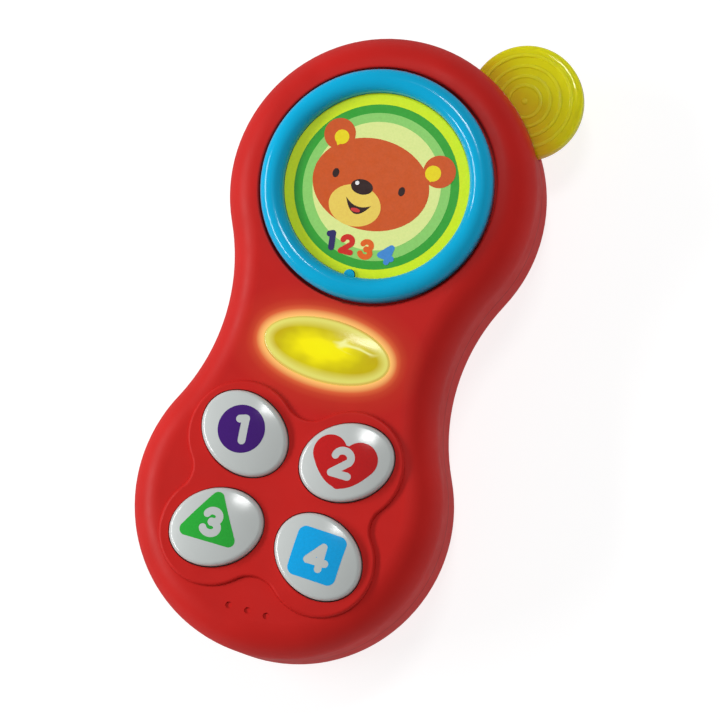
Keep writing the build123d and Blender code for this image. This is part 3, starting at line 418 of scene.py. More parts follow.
# ---- Geometry Nodes helpers ----------------------------------------------------------------------
def start_tree(name, **inputs):
    """Geometry Nodes tree with a Geometry input, number inputs and a Material input."""
    tree = bpy.data.node_groups.new(name, "GeometryNodeTree")
    tree.interface.new_socket("Geometry", in_out="INPUT", socket_type="NodeSocketGeometry")
    for label, value in inputs.items():
        kind = "NodeSocketInt" if isinstance(value, int) else "NodeSocketFloat"
        tree.interface.new_socket(label, in_out="INPUT", socket_type=kind).default_value = value
    tree.interface.new_socket("Material", in_out="INPUT", socket_type="NodeSocketMaterial")
    tree.interface.new_socket("Geometry", in_out="OUTPUT", socket_type="NodeSocketGeometry")
    return tree, tree.nodes.new("NodeGroupInput").outputs


def make(tree, kind, **feeds):
    """New node of that kind; feeds name its inputs, with _ for a space, as sockets or values."""
    made = tree.nodes.new(kind)
    for label, source in feeds.items():
        socket = made.inputs[label.replace("_", " ")]
        if isinstance(source, bpy.types.NodeSocket):
            tree.links.new(source, socket)
        else:
            socket.default_value = source
    return made.outputs[0]


def gather(tree, *parts):
    """Joined geometry of the parts."""
    joined = tree.nodes.new("GeometryNodeJoinGeometry")
    for part in parts:
        tree.links.new(part, joined.inputs["Geometry"])
    return joined.outputs[0]


def maths(tree, operation, first, second):
    """One sum of two numbers or sockets."""
    made = tree.nodes.new("ShaderNodeMath")
    made.operation = operation
    for socket, source in zip(made.inputs, (first, second)):
        if isinstance(source, bpy.types.NodeSocket):
            tree.links.new(source, socket)
        else:
            socket.default_value = source
    return made.outputs[0]


def finish_tree(tree, geometry, material):
    """Realises the instances, sets the material and feeds the tree's output."""
    real = make(tree, "GeometryNodeRealizeInstances", Geometry=geometry)
    painted = make(tree, "GeometryNodeSetMaterial", Geometry=real, Material=material)
    tree.links.new(painted, tree.nodes.new("NodeGroupOutput").inputs["Geometry"])


def grow(name, tree, places, material, sizes):
    """Runs the tree on loose points (places, in metres) and returns the result as a plain mesh."""
    seed_mesh = bpy.data.meshes.new(name + "_seed")
    seed_mesh.from_pydata([tuple(place) for place in places], [], [])
    seed = bpy.data.objects.new(name + "_seed", seed_mesh)
    bpy.context.scene.collection.objects.link(seed)
    modifier = seed.modifiers.new("grow", "NODES")
    modifier.node_group = tree
    chosen = dict(sizes, Material=material)
    for socket in tree.interface.items_tree:
        if socket.in_out == "INPUT" and socket.name in chosen:
            modifier[socket.identifier] = chosen[socket.name]
    bpy.context.view_layer.update()
    evaluated = seed.evaluated_get(bpy.context.evaluated_depsgraph_get())
    mesh = bpy.data.meshes.new_from_object(evaluated)
    mesh.name = name
    bpy.data.objects.remove(seed, do_unlink=True)
    mesh.polygons.foreach_set("use_smooth", [True] * len(mesh.polygons))
    mesh.set_sharp_from_angle(angle=CREASE)
    thing = bpy.data.objects.new(name, mesh)
    bpy.context.scene.collection.objects.link(thing)
    return thing


# ---- Finishes of this phone ----------------------------------------------------------------------
RED = rgb(204, 36, 32)
BLUE = rgb(0, 178, 226)
CAP_WHITE = rgb(203, 208, 206)

LENS_MIDDLE = sum(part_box("light_lens"), Vector()) / 2
LENS_HALF_LONG = 16.0 * MM
LENS_HALF_SHORT = 7.6 * MM
FACE_Z = 30.0 * MM          # top of the face round the dial and the lens
HEAD_MIDDLE = sum(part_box("dial_ring"), Vector()) / 2
SPILL_YELLOW = (1.0, 0.95, 0.27, 1.0)
SPILL_AMBER = (1.0, 0.50, 0.13, 1.0)
RED_GLOSS = {"roughness": 0.42, "specular": 0.12}


def beyond_lens(tree):
    """Millimetres outside the lens's oval edge, negative inside it, seen from above."""
    measures = []
    for power in (1, 2):
        stretch = (1 / LENS_HALF_LONG**power, 1 / LENS_HALF_SHORT**power, 0)
        measures.append(length_of(tree, place_coordinates(tree, stretch, LENS_MIDDLE)))
    first, second = measures
    excess = maths(tree, "MULTIPLY", first, maths(tree, "SUBTRACT", first, 1.0))
    return maths(tree, "DIVIDE", excess, maths(tree, "MULTIPLY", second, MM))


def ramp(tree, value, low, high, *stops):
    """Colour ramp over low to high; each stop is (value, colour)."""
    node = tree.nodes.new("ShaderNodeValToRGB")
    elements = node.color_ramp.elements
    for number, (place, colour) in enumerate(stops):
        position = (place - low) / (high - low)
        element = elements[number] if number < 2 else elements.new(position)
        element.position = position
        element.color = colour
    tree.links.new(spread(tree, value, 0.0, 1.0, start=low, end=high), node.inputs["Fac"])
    return node.outputs["Color"]


def lit_face_plastic():
    """The front shell's red plastic, with the warm spill of the lit lens round its opening."""
    material = moulded_plastic("red_face_plastic", RED, **RED_GLOSS)
    tree = material.node_tree
    shader = tree.nodes["Principled BSDF"]
    glow = ramp(tree, beyond_lens(tree), 0.0, 8.0, (0.0, scaled(SPILL_YELLOW, 0.60)), (8.0, rgb(0, 0, 0)),
                (1.0, scaled(SPILL_YELLOW, 0.38)), (1.9, scaled(SPILL_AMBER, 0.20)),
                (2.9, scaled(SPILL_AMBER, 0.07)), (4.4, scaled(SPILL_AMBER, 0.02)))
    height = part_of(tree, place_coordinates(tree), "Z")
    on_face = spread(tree, height, 0.0, 1.0, start=FACE_Z - 1.0 * MM, end=FACE_Z - 0.6 * MM)
    tree.links.new(glow, shader.inputs["Emission Color"])
    tree.links.new(on_face, shader.inputs["Emission Strength"])
    return material


def lit_lens_plastic():
    """Yellow lens with the lamp behind it: bright middle, duller ends, pale border, bright ripples."""
    material, tree, shader = start_material("lit_lens_plastic")
    outside = beyond_lens(tree)
    from_lamp = length_of(tree, place_coordinates(tree, (1 / MM, 2 / MM, 0), LENS_MIDDLE))
    cloud = noise(tree, place_coordinates(tree, (0.8, 1.4, 1), LENS_MIDDLE), 5 * MM, 1.0)
    wavy = maths(tree, "ADD", from_lamp, spread(tree, cloud, -2.0, 2.0))
    heart = ramp(tree, wavy, 0.0, 16.0, (0.0, rgb(255, 246, 2)), (16.0, rgb(196, 168, 10)),
                 (4.5, rgb(253, 240, 2)), (8.0, rgb(226, 212, 5)), (11.0, rgb(208, 192, 8)))
    border = spread(tree, outside, 0.0, 1.0, start=-3.0, end=-1.0)
    body = mix_colours(tree, border, heart, rgb(232, 226, 112))
    rim = spread(tree, outside, 0.0, 1.0, start=-0.6, end=-0.25)
    body = mix_colours(tree, rim, body, rgb(222, 196, 92))
    # Bright ripples of lamplight in an oval patch, nearer the head and to the right
    ripple_middle = LENS_MIDDLE + Vector((7.0, 2.4, 0)) * MM
    patch_half_long, patch_half_short = 5.5 * MM, 1.8 * MM
    patch = place_coordinates(tree, (1 / patch_half_long, 1 / patch_half_short, 0), ripple_middle)
    swirl = noise(tree, place_coordinates(tree, (0.5, 1.5, 0), ripple_middle), 3.4 * MM, 0.0)
    ridge = maths(tree, "ABSOLUTE", maths(tree, "SUBTRACT", swirl, 0.5), 0.0)
    lines = maths(tree, "MULTIPLY", spread(tree, ridge, 0.8, 0.0, start=0.01, end=0.11),
                  spread(tree, length_of(tree, patch), 1.0, 0.0, start=0.7, end=1.1))
    body = mix_colours(tree, lines, body, rgb(255, 255, 170))
    unlit = mix_colours(tree, 1.0, body, rgb(150, 150, 150), "MULTIPLY")
    tree.links.new(unlit, shader.inputs["Base Color"])
    tree.links.new(body, shader.inputs["Emission Color"])
    set_sockets(shader, {"Emission Strength": 0.70, "Roughness": 0.2, "Specular IOR Level": 0.35})
    bump(tree, shader, (noise(tree, place_coordinates(tree), 4 * MM), 40 * MICRON))
    return material


def clear_yellow_plastic():
    """Translucent yellow plastic of the antenna, with a painted reflection of the red body deepening it
    towards the body and a painted highlight paling its ridges.
    """
    material, tree, shader = start_material("clear_yellow_plastic")
    spot = place_coordinates(tree)
    # Painted reflection of the red body: the yellow turns deeper and more orange nearer the body.
    from_head = length_of(tree, place_coordinates(tree, (1 / MM, 1 / MM, 0), HEAD_MIDDLE))
    cloud = maths(tree, "ADD", from_head, spread(tree, noise(tree, spot, 9 * MM), -1.5, 1.5))
    tint = ramp(tree, cloud, 34.0, 56.0, (34.0, rgb(232, 176, 8)), (56.0, rgb(250, 248, 2)),
                (39.0, rgb(238, 206, 6)), (45.0, rgb(244, 236, 2)))
    # Painted highlight: the ridge tops are tinted a paler yellow.
    below_ridge_top = maths(tree, "SUBTRACT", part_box("antenna")[1].z, part_of(tree, spot, "Z"))
    painted_ridge_highlight = spread(tree, below_ridge_top, 0.3, 0.0, start=0.1 * MM, end=0.33 * MM)
    tint = mix_colours(tree, painted_ridge_highlight, tint, rgb(255, 252, 70))
    tree.links.new(tint, shader.inputs["Base Color"])
    set_sockets(shader, {"Transmission Weight": 0.3, "IOR": 1.45, "Subsurface Weight": 0.5,
                         "Subsurface Radius": (1.0, 0.9, 0.1), "Subsurface Scale": 3 * MM})
    tree.links.new(spread(tree, noise(tree, spot, 4 * MM), 0.07, 0.12), shader.inputs["Roughness"])
    bump(tree, shader, (noise(tree, spot, 3 * MM), 8 * MICRON))
    return material


def painted_seam_shade(material):
    """Painted shade: a fine dark line along the sides where the two shells meet, in place of the shade in
    a groove there.
    """
    tree = material.node_tree
    shader = tree.nodes["Principled BSDF"]
    height = part_of(tree, place_coordinates(tree), "Z")
    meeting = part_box("front_housing")[0].z
    apart = maths(tree, "ABSOLUTE", maths(tree, "SUBTRACT", height, meeting), 0.0)
    # Painted shade of the seam: darker within a fraction of a millimetre of the meeting height.
    line = spread(tree, apart, 1.0, 0.0, start=0.07 * MM, end=0.22 * MM)
    plain = shader.inputs["Base Color"].links[0].from_socket
    tree.links.new(mix_colours(tree, line, plain, scaled(RED, 0.3)), shader.inputs["Base Color"])


RED_FACE = lit_face_plastic()
RED_BACK = moulded_plastic("red_back_plastic", RED, **RED_GLOSS)
# Painted shade along the seam, on both shells.
painted_seam_shade(RED_FACE)
painted_seam_shade(RED_BACK)
BLUE_PLASTIC = moulded_plastic("blue_ring_plastic", BLUE, roughness=0.13, specular=0.32)
WHITE_CAP = moulded_plastic("white_cap_plastic", CAP_WHITE, roughness=0.19, mottle=0.02, specular=0.6)
LENS_PLASTIC = lit_lens_plastic()
ANTENNA_PLASTIC = clear_yellow_plastic()
BLACK_PLASTIC = moulded_plastic("black_plastic", rgb(34, 34, 36), roughness=0.42)
WHITE_REFLECTOR = moulded_plastic("white_reflector_plastic", rgb(232, 232, 226), roughness=0.3)
LAMP_EPOXY = moulded_plastic("lamp_epoxy", rgb(250, 236, 150), roughness=0.08)
SCREW_STEEL = plated_metal("zinc_screw_steel", rgb(196, 198, 204))
SPRING_STEEL = plated_metal("spring_steel", rgb(168, 168, 172), 0.22)
NICKEL = plated_metal("nickel_contact", rgb(214, 210, 200), 0.18)
SPEAKER_STEEL = plated_metal("speaker_steel", rgb(176, 172, 158), 0.35)
MAGNET_FERRITE = moulded_plastic("magnet_ferrite", rgb(52, 52, 55), roughness=0.6, mottle=0.15)
PAPER_CONE = moulded_plastic("paper_cone", rgb(44, 42, 40), roughness=0.8, mottle=0.2, ripple=30 * MICRON)
BOARD_PHENOLIC = moulded_plastic("board_phenolic", rgb(168, 124, 66), roughness=0.5, mottle=0.1)
CHIP_RESIN = moulded_plastic("chip_resin", rgb(22, 22, 23), roughness=0.25)
GREY_SILICONE = soft_rubber("grey_silicone", rgb(136, 138, 140))
RED_SLEEVE = soft_rubber("red_wire_sleeve", rgb(190, 30, 26))
BLACK_SLEEVE = soft_rubber("black_wire_sleeve", rgb(26, 26, 28))


def battery_wrap(node, nub_way):
    """Plain wrap of one battery: green can, copper-coloured band at the nub's end, bare steel ends."""
    material, tree, shader = start_material(node + "_wrap")
    low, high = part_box(node)
    nub_tip = high.y if nub_way > 0 else low.y
    from_nub = part_of(tree, place_coordinates(tree, (0, -nub_way / MM, 0), (0, nub_tip, 0)), "Y")
    end = (high.y - low.y) / MM
    steel, copper, green = rgb(190, 190, 188), rgb(196, 122, 60), rgb(24, 92, 58)
    tint = ramp(tree, from_nub, 0.0, end, (0.0, steel), (end, steel), (1.5, steel), (1.6, copper),
                (10.5, copper), (10.6, green), (end - 0.8, green), (end - 0.7, steel))
    tree.links.new(tint, shader.inputs["Base Color"])
    set_sockets(shader, {"Metallic": 0.6, "Roughness": 0.26})
    bump(tree, shader, (noise(tree, place_coordinates(tree), 2 * MM), 6 * MICRON))
    wear(node, material)


battery_wrap("battery_left", 1)
battery_wrap("battery_right", -1)

FINISHES = {
    RED_FACE: ["front_housing"],
    RED_BACK: ["rear_housing", "battery_door"],
    BLUE_PLASTIC: ["dial_ring"],
    WHITE_CAP: ["button_1", "button_2", "button_3", "button_4"],
    LENS_PLASTIC: ["light_lens"],
    ANTENNA_PLASTIC: ["antenna"],
    BLACK_PLASTIC: ["dial_retainer", "speaker_retainer", "switch_slider", "switch_lever"],
    WHITE_REFLECTOR: ["light_reflector"],
    LAMP_EPOXY: ["lamp"],
    SCREW_STEEL: ["case_screws", "board_screws", "lens_screws", "dial_screw", "door_screw",
                  "speaker_screws", "switch_screws"],
    SPRING_STEEL: ["dial_click_spring"],
    NICKEL: ["contact_positive", "contact_negative", "contact_bridge", "contact_springs"],
    SPEAKER_STEEL: ["speaker_frame", "switch_body"],
    MAGNET_FERRITE: ["speaker_magnet"],
    PAPER_CONE: ["speaker_cone"],
    BOARD_PHENOLIC: ["main_board"],
    CHIP_RESIN: ["sound_chip", "board_components"],
    GREY_SILICONE: ["keypad_sheet", "key_dome_1", "key_dome_2", "key_dome_3", "key_dome_4"],
    RED_SLEEVE: ["battery_wire_red", "speaker_wire_red"],
    BLACK_SLEEVE: ["battery_wire_black", "speaker_wire_black"],
}
for finish, members in FINISHES.items():
    for member in members:
        wear(member, finish)


# ---- Screws with a cross recess and a rolled thread ----------------------------------------------
def box_shape(tree, length, width, height, base):
    """Box of the given size whose bottom stands at the height base."""
    size = make(tree, "ShaderNodeCombineXYZ", X=length, Y=width, Z=height)
    block = make(tree, "GeometryNodeMeshCube", Size=size)
    middle = maths(tree, "ADD", base, maths(tree, "MULTIPLY", height, 0.5))
    lift = make(tree, "ShaderNodeCombineXYZ", Z=middle)
    return make(tree, "GeometryNodeTransform", Geometry=block, Translation=lift)


def turned_bar(tree, radius_low, radius_high, height, base, sides=40):
    """Round bar or cone standing on the height base."""
    bar = make(tree, "GeometryNodeMeshCone", Vertices=sides, Radius_Bottom=radius_low,
               Radius_Top=radius_high, Depth=height)
    lift = make(tree, "ShaderNodeCombineXYZ", Z=base)
    return make(tree, "GeometryNodeTransform", Geometry=bar, Translation=lift)


def screw_tree():
    """Tree that stands one screw, head at its foot, on every point."""
    tree, given = start_tree("cross_screw", Head_Radius=2.0 * MM, Head_Height=1.2 * MM,
                             Shank_Radius=1.0 * MM, Shank_Length=6 * MM, Threads=8.0, Upside_Down=0.0)
    head_radius, head_height = given["Head_Radius"], given["Head_Height"]
    shank_radius, shank_length = given["Shank_Radius"], given["Shank_Length"]
    # Head in two turned layers, cut by the cross
    crown = maths(tree, "MULTIPLY", head_height, 0.4)
    rest = maths(tree, "SUBTRACT", head_height, crown)
    flange = turned_bar(tree, head_radius, head_radius, rest, crown)
    dome = turned_bar(tree, maths(tree, "MULTIPLY", head_radius, 0.84), head_radius, crown, 0.0)
    reach = maths(tree, "MULTIPLY", head_radius, 1.2)
    slit = maths(tree, "MULTIPLY", head_radius, 0.28)
    depth = maths(tree, "MULTIPLY", head_height, 0.62)
    below = maths(tree, "MULTIPLY", head_height, -0.02)
    cross = gather(tree, box_shape(tree, reach, slit, depth, below),
                   box_shape(tree, slit, reach, depth, below))
    cutter = tree.nodes.new("GeometryNodeMeshBoolean")
    cutter.operation = "DIFFERENCE"
    cutter.solver = "EXACT"
    cutter.inputs["Self Intersection"].default_value = True
    tree.links.new(gather(tree, flange, dome), cutter.inputs["Mesh 1"])
    tree.links.new(cross, cutter.inputs["Mesh 2"])
    # Shank core with a helical thread round it
    core_radius = maths(tree, "MULTIPLY", shank_radius, 0.8)
    core_tip = maths(tree, "MULTIPLY", core_radius, 0.7)
    core = turned_bar(tree, core_radius, core_tip, shank_length, head_height, 24)
    thread_line = maths(tree, "MULTIPLY", shank_radius, 0.87)
    helix = make(tree, "GeometryNodeCurveSpiral", Resolution=20, Rotations=given["Threads"],
                 Start_Radius=thread_line, End_Radius=maths(tree, "MULTIPLY", thread_line, 0.74),
                 Height=maths(tree, "MULTIPLY", shank_length, 0.86))
    thread_radius = maths(tree, "MULTIPLY", shank_radius, 0.13)
    ridge = make(tree, "GeometryNodeCurvePrimitiveCircle", Resolution=5, Radius=thread_radius)
    thread = make(tree, "GeometryNodeCurveToMesh", Curve=helix, Profile_Curve=ridge, Fill_Caps=True)
    under_head = maths(tree, "ADD", head_height, maths(tree, "MULTIPLY", shank_length, 0.08))
    start = make(tree, "ShaderNodeCombineXYZ", Z=under_head)
    thread = make(tree, "GeometryNodeTransform", Geometry=thread, Translation=start)
    screw = gather(tree, cutter.outputs["Mesh"], core, thread)
    turn = make(tree, "ShaderNodeCombineXYZ", X=maths(tree, "MULTIPLY", given["Upside_Down"], pi))
    stood = make(tree, "GeometryNodeInstanceOnPoints", Points=given["Geometry"], Instance=screw,
                 Rotation=turn)
    finish_tree(tree, stood, given["Material"])
    return tree


def merged_shape(node):
    """Working copy of a CAD node's mesh, with its doubled corners merged."""
    shape = bmesh.new()
    shape.from_mesh(NODES[node].data)
    bmesh.ops.remove_doubles(shape, verts=shape.verts, dist=MICRON)
    return shape


def separate_middles(node):
    """Middle, seen from above, of each separate solid in a node."""
    shape = merged_shape(node)
    waiting, middles = set(shape.verts), []
    while waiting:
        island, found = [], [waiting.pop()]
        while found:
            corner = found.pop()
            island.append(corner.co.copy())
            for edge in corner.link_edges:
                other = edge.other_vert(corner)
                if other in waiting:
                    waiting.discard(other)
                    found.append(other)
        spans = [[spot[axis] for spot in island] for axis in (0, 1)]
        middles.append(tuple((min(span) + max(span)) / 2 for span in spans))
    shape.free()
    return sorted(middles)


SCREWS = {
    # node: (head radius, head height, shank radius, turns of thread, head up); sizes in millimetres
    "case_screws": (2.45, 1.8, 1.2, 11, False),
    "board_screws": (2.0, 1.3, 0.9, 7, False),
    "lens_screws": (1.8, 1.2, 0.8, 4, False),
    "dial_screw": (2.4, 1.5, 1.2, 5, False),
    "door_screw": (2.3, 1.0, 1.05, 4, False),
    "speaker_screws": (1.9, 1.2, 0.85, 4, True),
    "switch_screws": (1.6, 1.0, 0.75, 4, True),
}
CROSS_SCREW = screw_tree()
for node, (head_radius, head_height, shank_radius, turns, head_up) in SCREWS.items():
    low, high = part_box(node)
    foot = high.z if head_up else low.z
    sizes = {"Head_Radius": head_radius * MM, "Head_Height": head_height * MM,
             "Shank_Radius": shank_radius * MM, "Shank_Length": high.z - low.z - head_height * MM,
             "Threads": float(turns), "Upside_Down": float(head_up)}
    piece = grow(node + "_threaded", CROSS_SCREW, [(x, y, foot) for x, y in separate_middles(node)],
                 SCREW_STEEL, sizes)
    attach(piece, {"dial_screw": "dial", "door_screw": "battery_door"}.get(node, "housing"))
    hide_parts(node)


# ---- Coiled battery springs ----------------------------------------------------------------------
def spring_tree():
    """Tree that sets one tapered coil on every point, lying along Y and narrowing towards its battery."""
    tree, given = start_tree("battery_spring", Wire_Radius=0.3 * MM, Wide_Radius=3.4 * MM,
                             Narrow_Radius=2.2 * MM, Length=4.1 * MM, Turns=5.0)
    wire = given["Wire_Radius"]
    coil = make(tree, "GeometryNodeCurveSpiral", Resolution=28, Rotations=given["Turns"],
                Start_Radius=maths(tree, "SUBTRACT", given["Wide_Radius"], wire),
                End_Radius=maths(tree, "SUBTRACT", given["Narrow_Radius"], wire),
                Height=maths(tree, "SUBTRACT", given["Length"], maths(tree, "MULTIPLY", wire, 2.0)))
    section = make(tree, "GeometryNodeCurvePrimitiveCircle", Resolution=10, Radius=wire)
    strand = make(tree, "GeometryNodeCurveToMesh", Curve=coil, Profile_Curve=section, Fill_Caps=True)
    lift = make(tree, "ShaderNodeCombineXYZ", Z=wire)
    strand = make(tree, "GeometryNodeTransform", Geometry=strand, Translation=lift)
    side = maths(tree, "SIGN", part_of(tree, make(tree, "GeometryNodeInputPosition"), "X"), 0.0)
    turn = make(tree, "ShaderNodeCombineXYZ", X=maths(tree, "MULTIPLY", side, pi / 2))
    stood = make(tree, "GeometryNodeInstanceOnPoints", Points=given["Geometry"], Instance=strand,
                 Rotation=turn)
    finish_tree(tree, stood, given["Material"])
    return tree


low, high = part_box("contact_springs")
spring_z = (low.z + high.z) / 2
spring_places = [(x, low.y if x < 0 else high.y, spring_z)
                 for x, _ in separate_middles("contact_springs")]
springs = grow("contact_springs_coiled", spring_tree(), spring_places, SPRING_STEEL,
               {"Wire_Radius": 0.3 * MM, "Turns": 5.0})
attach(springs, "housing")
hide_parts("contact_springs")


for number in (1, 2, 3, 4):
    node = f"key_dome_{number}"
    low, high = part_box(node)
    shape = merged_shape(node)
    rubber = bpy.data.meshes.new(node + "_rubber")
    shape.to_mesh(rubber)
    shape.free()
    rubber.materials.clear()
    rubber.materials.append(GREY_SILICONE)
    dome = bpy.data.objects.new(node + "_rubber", rubber)
    bpy.context.scene.collection.objects.link(dome)
    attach(dome, "housing")
    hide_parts(node)
    foot = ((low.x + high.x) / 2, (low.y + high.y) / 2, low.z)
    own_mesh(dome)


# ---- Grip ribs on the switch knob ----------------------------------------------------------------
def rib_tree():
    """Tree that lays a row of round-topped ribs, evenly spaced along X, from every point."""
    tree, given = start_tree("grip_ribs", Count=5, Spacing=0.9 * MM, Rib_Length=3.2 * MM,
                             Rib_Radius=0.28 * MM)
    bar = make(tree, "GeometryNodeMeshCylinder", Vertices=16, Radius=given["Rib_Radius"],
               Depth=given["Rib_Length"])
    laid = make(tree, "GeometryNodeTransform", Geometry=bar, Rotation=(pi / 2, 0, 0))
    step = make(tree, "ShaderNodeCombineXYZ", X=given["Spacing"])
    row = make(tree, "GeometryNodeMeshLine", Count=given["Count"], Offset=step)
    ribs = make(tree, "GeometryNodeInstanceOnPoints", Points=row, Instance=laid)
    rows = make(tree, "GeometryNodeInstanceOnPoints", Points=given["Geometry"], Instance=ribs)
    finish_tree(tree, rows, given["Material"])
    return tree


low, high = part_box("switch_slider")
RIB_COUNT, RIB_SPACING = 5, 0.9 * MM
first_rib = ((low.x + high.x - (RIB_COUNT - 1) * RIB_SPACING) / 2, (low.y + high.y) / 2, low.z)
ribs = grow("switch_knob_ribs", rib_tree(), [first_rib], BLACK_PLASTIC,
            {"Count": RIB_COUNT, "Spacing": RIB_SPACING, "Rib_Length": 3.2 * MM, "Rib_Radius": 0.28 * MM})
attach(ribs, "switch")


# ---- Prints on the button caps -------------------------------------------------------------------
CROWN_RADIUS = 34.0 * MM    # of the ball that a cap's crown is part of
PRINT_DEPTH = 0.03 * MM
PRINT_ROUGHNESS = 0.12
PRINT_SPACING = 0.7         # between a print's inner points, in millimetres

HEART_TIP = bowed((-1.25, -6.5), (-0.25, -6.85), (0.75, -6.5))
HEART = [oval(-4.1, 1.3, 4.25), oval(3.5, 1.3, 4.25),
         bowed((-7.7, -0.9), (-4.6, -4.7), HEART_TIP[0]) + HEART_TIP[1:-1]
         + bowed(HEART_TIP[-1], (4.0, -4.7), (7.15, -0.9)) + [(6.55, 3.3), (-0.3, 3.8), (-7.15, 3.3)]]
TRIANGLE = softened([(-1.1, 9.7), (-9.4, -4.05), (7.2, -4.05)], 1.55)
SQUARE = softened([(-5.9, 6.4), (-6.15, -5.7), (6.0, -6.15), (6.4, 5.95)], 1.9)
BUTTON_PRINTS = {
    # button: (ink, its colour, the printed shape, the digit left white), in millimetres
    1: ("purple_ink", rgb(66, 18, 118), [oval(-0.6, 0.7, 5.85)], digit(1, -0.35, 0.7, 3.9, 7.3, 1.95)),
    2: ("heart_red_ink", rgb(200, 22, 24), HEART, digit(2, -0.5, -0.45, 6.2, 7.7, 1.9)),
    3: ("leaf_green_ink", rgb(40, 176, 56), [TRIANGLE], digit(3, -0.6, 0.75, 5.6, 7.4, 1.9)),
    4: ("sky_blue_ink", rgb(0, 172, 240), [SQUARE], digit(4, 0.4, -0.25, 6.3, 7.2, 1.85)),
}


def cap_crown(node):
    """Middle of a button's top and the height of its domed crown round that middle."""
    low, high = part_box(node)
    middle = (low + high) / 2

    def height(x, y):
        return high.z - CROWN_RADIUS + sqrt(CROWN_RADIUS**2 - x * x - y * y)
    return middle, height


for number, (ink, colour, fills, knocked_out) in BUTTON_PRINTS.items():
    middle, crown = cap_crown(f"button_{number}")
    print_film = film(f"print_{number}", fills, knocked_out, middle, crown, PRINT_DEPTH,
                      printed_ink(ink, colour, PRINT_ROUGHNESS), PRINT_SPACING,
                      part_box(f"button_{number}")[1].z)
    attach(print_film, f"button_{number}")


# ---- Picture on the dial: bands, a plain bear and four digits ------------------------------------
LAYER = 0.02 * MM           # height of one printed layer over the one below
PICTURE_GAIN = 1.18         # how much brighter the picture's inks are than their names' plain colours
PICTURE_LOW, PICTURE_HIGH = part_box("picture_disc")
PICTURE_MIDDLE = (PICTURE_LOW + PICTURE_HIGH) / 2
# The disc has a notch at its foot, so its box isn't centred on the dial
PICTURE_MIDDLE.y = sum(corner.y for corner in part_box("dial_ring")) / 2

MOUTH_LEFT, MOUTH_RIGHT = (-6.45, -4.5), (0.15, -5.2)
MOUTH = (bowed(MOUTH_LEFT, (-3.25, -6.1), MOUTH_RIGHT)
         + bowed(MOUTH_RIGHT, (-3.25, -8.0), MOUTH_LEFT)[1:-1])
PICTURE_LAYERS = [
    # (piece, which layer, its colour, its shapes in millimetres)
    ("band_green", 1, rgb(44, 160, 44), [oval(0, -0.3, 20.3, steps=144)]),
    ("band_light_green", 2, rgb(138, 206, 104), [oval(0, -0.3, 18.2, steps=144)]),
    ("band_pale", 3, rgb(222, 240, 146), [oval(0, -0.1, 15.8, steps=144)]),
    ("bear_fur", 4, rgb(204, 82, 18), [oval(-1.5, -0.1, 14.6, 11.25), oval(-12.5, 9.9, 3.9),
                                       oval(13.9, 7.2, 4.0)]),
    ("ear_inner", 5, rgb(240, 214, 4), [oval(-11.8, 9.3, 1.8), [(-13.5, 8.9), (-12.3, 7.0), (-10.1, 8.9)],
                                        oval(12.5, 6.4, 1.95), [(10.8, 5.6), (12.4, 4.2), (14.1, 5.6)]]),
    ("muzzle_cream", 5, rgb(252, 204, 88), [oval(-3.8, -6.05, 6.5, 5.1)]),
    ("bear_dark", 6, rgb(40, 10, 8), [oval(-10.65, 0.45, 0.8, 1.15), oval(6.35, 0.15, 0.8, 1.15),
                                      oval(-3.4, -1.25, 2.75, 1.85), MOUTH]),
    ("tongue_red", 7, rgb(206, 50, 50), [oval(-3.3, -7.1, 1.2, 0.5)]),
    ("nose_glint", 7, rgb(245, 245, 240), [oval(-4.8, -0.6, 0.5)]),
    ("digit_navy", 5, rgb(40, 32, 96), digit(1, -6.9, -15.65, 2.6, 5.0, 1.5, 4)),
    ("digit_red", 5, rgb(206, 34, 22), digit(2, -2.8, -15.65, 3.9, 5.0, 1.35, 2)),
    ("digit_orange", 5, rgb(226, 96, 18), digit(3, 2.2, -15.65, 3.8, 5.1, 1.35)),
    ("digit_blue", 5, rgb(60, 136, 208), digit(4, 7.3, -15.45, 4.3, 5.1, 1.45, -6)),
]
wear("picture_disc", printed_ink("band_lime", scaled(rgb(210, 236, 10), PICTURE_GAIN)))
for name, level, colour, fills in PICTURE_LAYERS:
    layer = film(name, fills, [], PICTURE_MIDDLE, lambda x, y: PICTURE_HIGH.z, level * LAYER,
                 printed_ink(name + "_ink", scaled(colour, PICTURE_GAIN)))
    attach(layer, "dial")


# ---- Stage, light and camera ---------------------------------------------------------------------
FLOOR_GLOW = 0.83
FLOOR_REACH = 3             # metres from the phone to the floor's edges
FLOOR_Z = -0.1 * MM         # just clear of the phone's back, so that the two never flicker
SKY_STRENGTH = 0.27
LIGHT_DISTANCE = 0.9
MIDDLE = Vector((0, 0, 15 * MM))

VIEW_WAY = Vector((0.2248, -0.0895, 0.9703)).normalized()
VIEW_ROLL = radians(16.94)
VIEW_DISTANCE = 1.0
VIEW_WIDTH = 175.8 * MM
VIEW_RIGHT, VIEW_DOWN = 4.97 * MM, 0.77 * MM        # from the phone's middle to the view's
SENSOR_WIDTH = 36           # millimetres


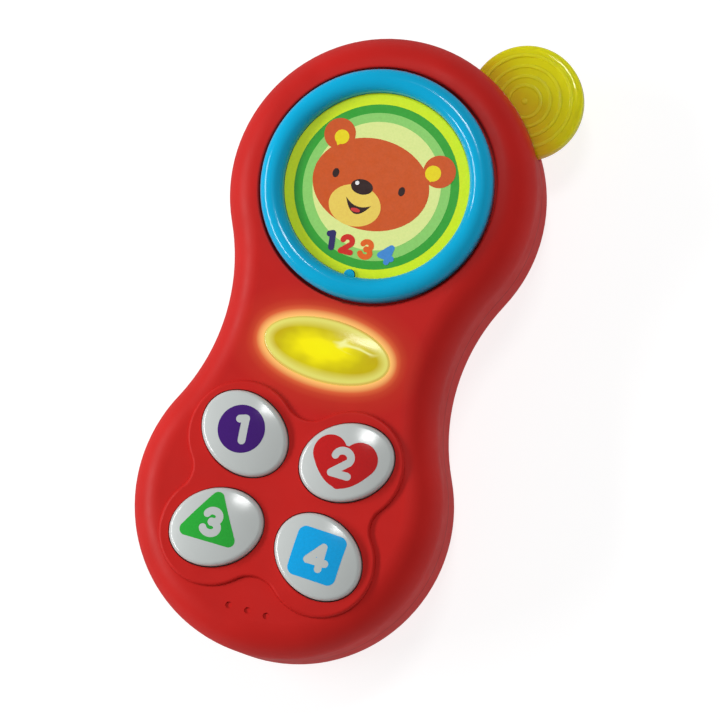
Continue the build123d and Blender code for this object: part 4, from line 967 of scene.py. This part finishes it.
def stage_floor():
    """Pale floor that the phone lies on, kept out of the phone's reflections."""
    material, _, shader = start_material("pale_floor")
    set_sockets(shader, {"Base Color": rgb(150, 150, 150), "Roughness": 0.7, "Specular IOR Level": 0.1,
                         "Emission Color": rgb(255, 255, 255), "Emission Strength": FLOOR_GLOW})
    corners = [(x * FLOOR_REACH, y * FLOOR_REACH, FLOOR_Z)
               for x, y in ((-1, -1), (1, -1), (1, 1), (-1, 1))]
    floor = plain_mesh("floor", corners, [[0, 1, 2, 3]], material)
    floor.visible_glossy = False


def soft_light(name, direction, width, height, power):
    """Rectangular soft light that shines on the phone's middle from the given direction."""
    lamp = bpy.data.lights.new(name, "AREA")
    lamp.shape = "RECTANGLE"
    lamp.size, lamp.size_y = width, height
    lamp.energy = power
    holder = bpy.data.objects.new(name, lamp)
    way = direction.normalized()
    holder.location = MIDDLE + way * LIGHT_DISTANCE
    holder.rotation_euler = way.to_track_quat("Z", "Y").to_euler()
    bpy.context.scene.collection.objects.link(holder)


def aim_camera():
    """Long lens above the phone, leaning to its right and foot, rolled so the head leans right.

    Returns the view's own right and up directions.
    """
    body_up = Vector((0, 1, 0)) - VIEW_WAY * VIEW_WAY.y
    upward = body_up.normalized()
    rightward = upward.cross(VIEW_WAY)
    across = rightward * cos(VIEW_ROLL) + upward * sin(VIEW_ROLL)
    along = upward * cos(VIEW_ROLL) - rightward * sin(VIEW_ROLL)
    stand = MIDDLE + rightward * VIEW_RIGHT - upward * VIEW_DOWN + VIEW_WAY * VIEW_DISTANCE
    lens = bpy.data.cameras.new("view")
    lens.sensor_width = SENSOR_WIDTH
    lens.lens = SENSOR_WIDTH * VIEW_DISTANCE / VIEW_WIDTH
    camera = bpy.data.objects.new("view", lens)
    camera.matrix_world = Matrix([(across[axis], along[axis], VIEW_WAY[axis], stand[axis])
                                  for axis in range(3)] + [(0, 0, 0, 1)])
    bpy.context.scene.collection.objects.link(camera)
    bpy.context.scene.camera = camera
    return across, along


stage_floor()
across, along = aim_camera()
soft_light("key", VIEW_WAY - across * 0.04 + along * 0.69, 0.20, 0.14, 2.0)
soft_light("left", VIEW_WAY * 0.36 - across * 1.0 + along * 0.12, 0.7, 0.14, 5.5)
sky = bpy.data.worlds.new("sky")
sky.use_nodes = True
set_sockets(sky.node_tree.nodes["Background"], {"Color": rgb(255, 255, 255), "Strength": SKY_STRENGTH})
bpy.context.scene.world = sky
bpy.context.scene.view_settings.view_transform = "Standard"
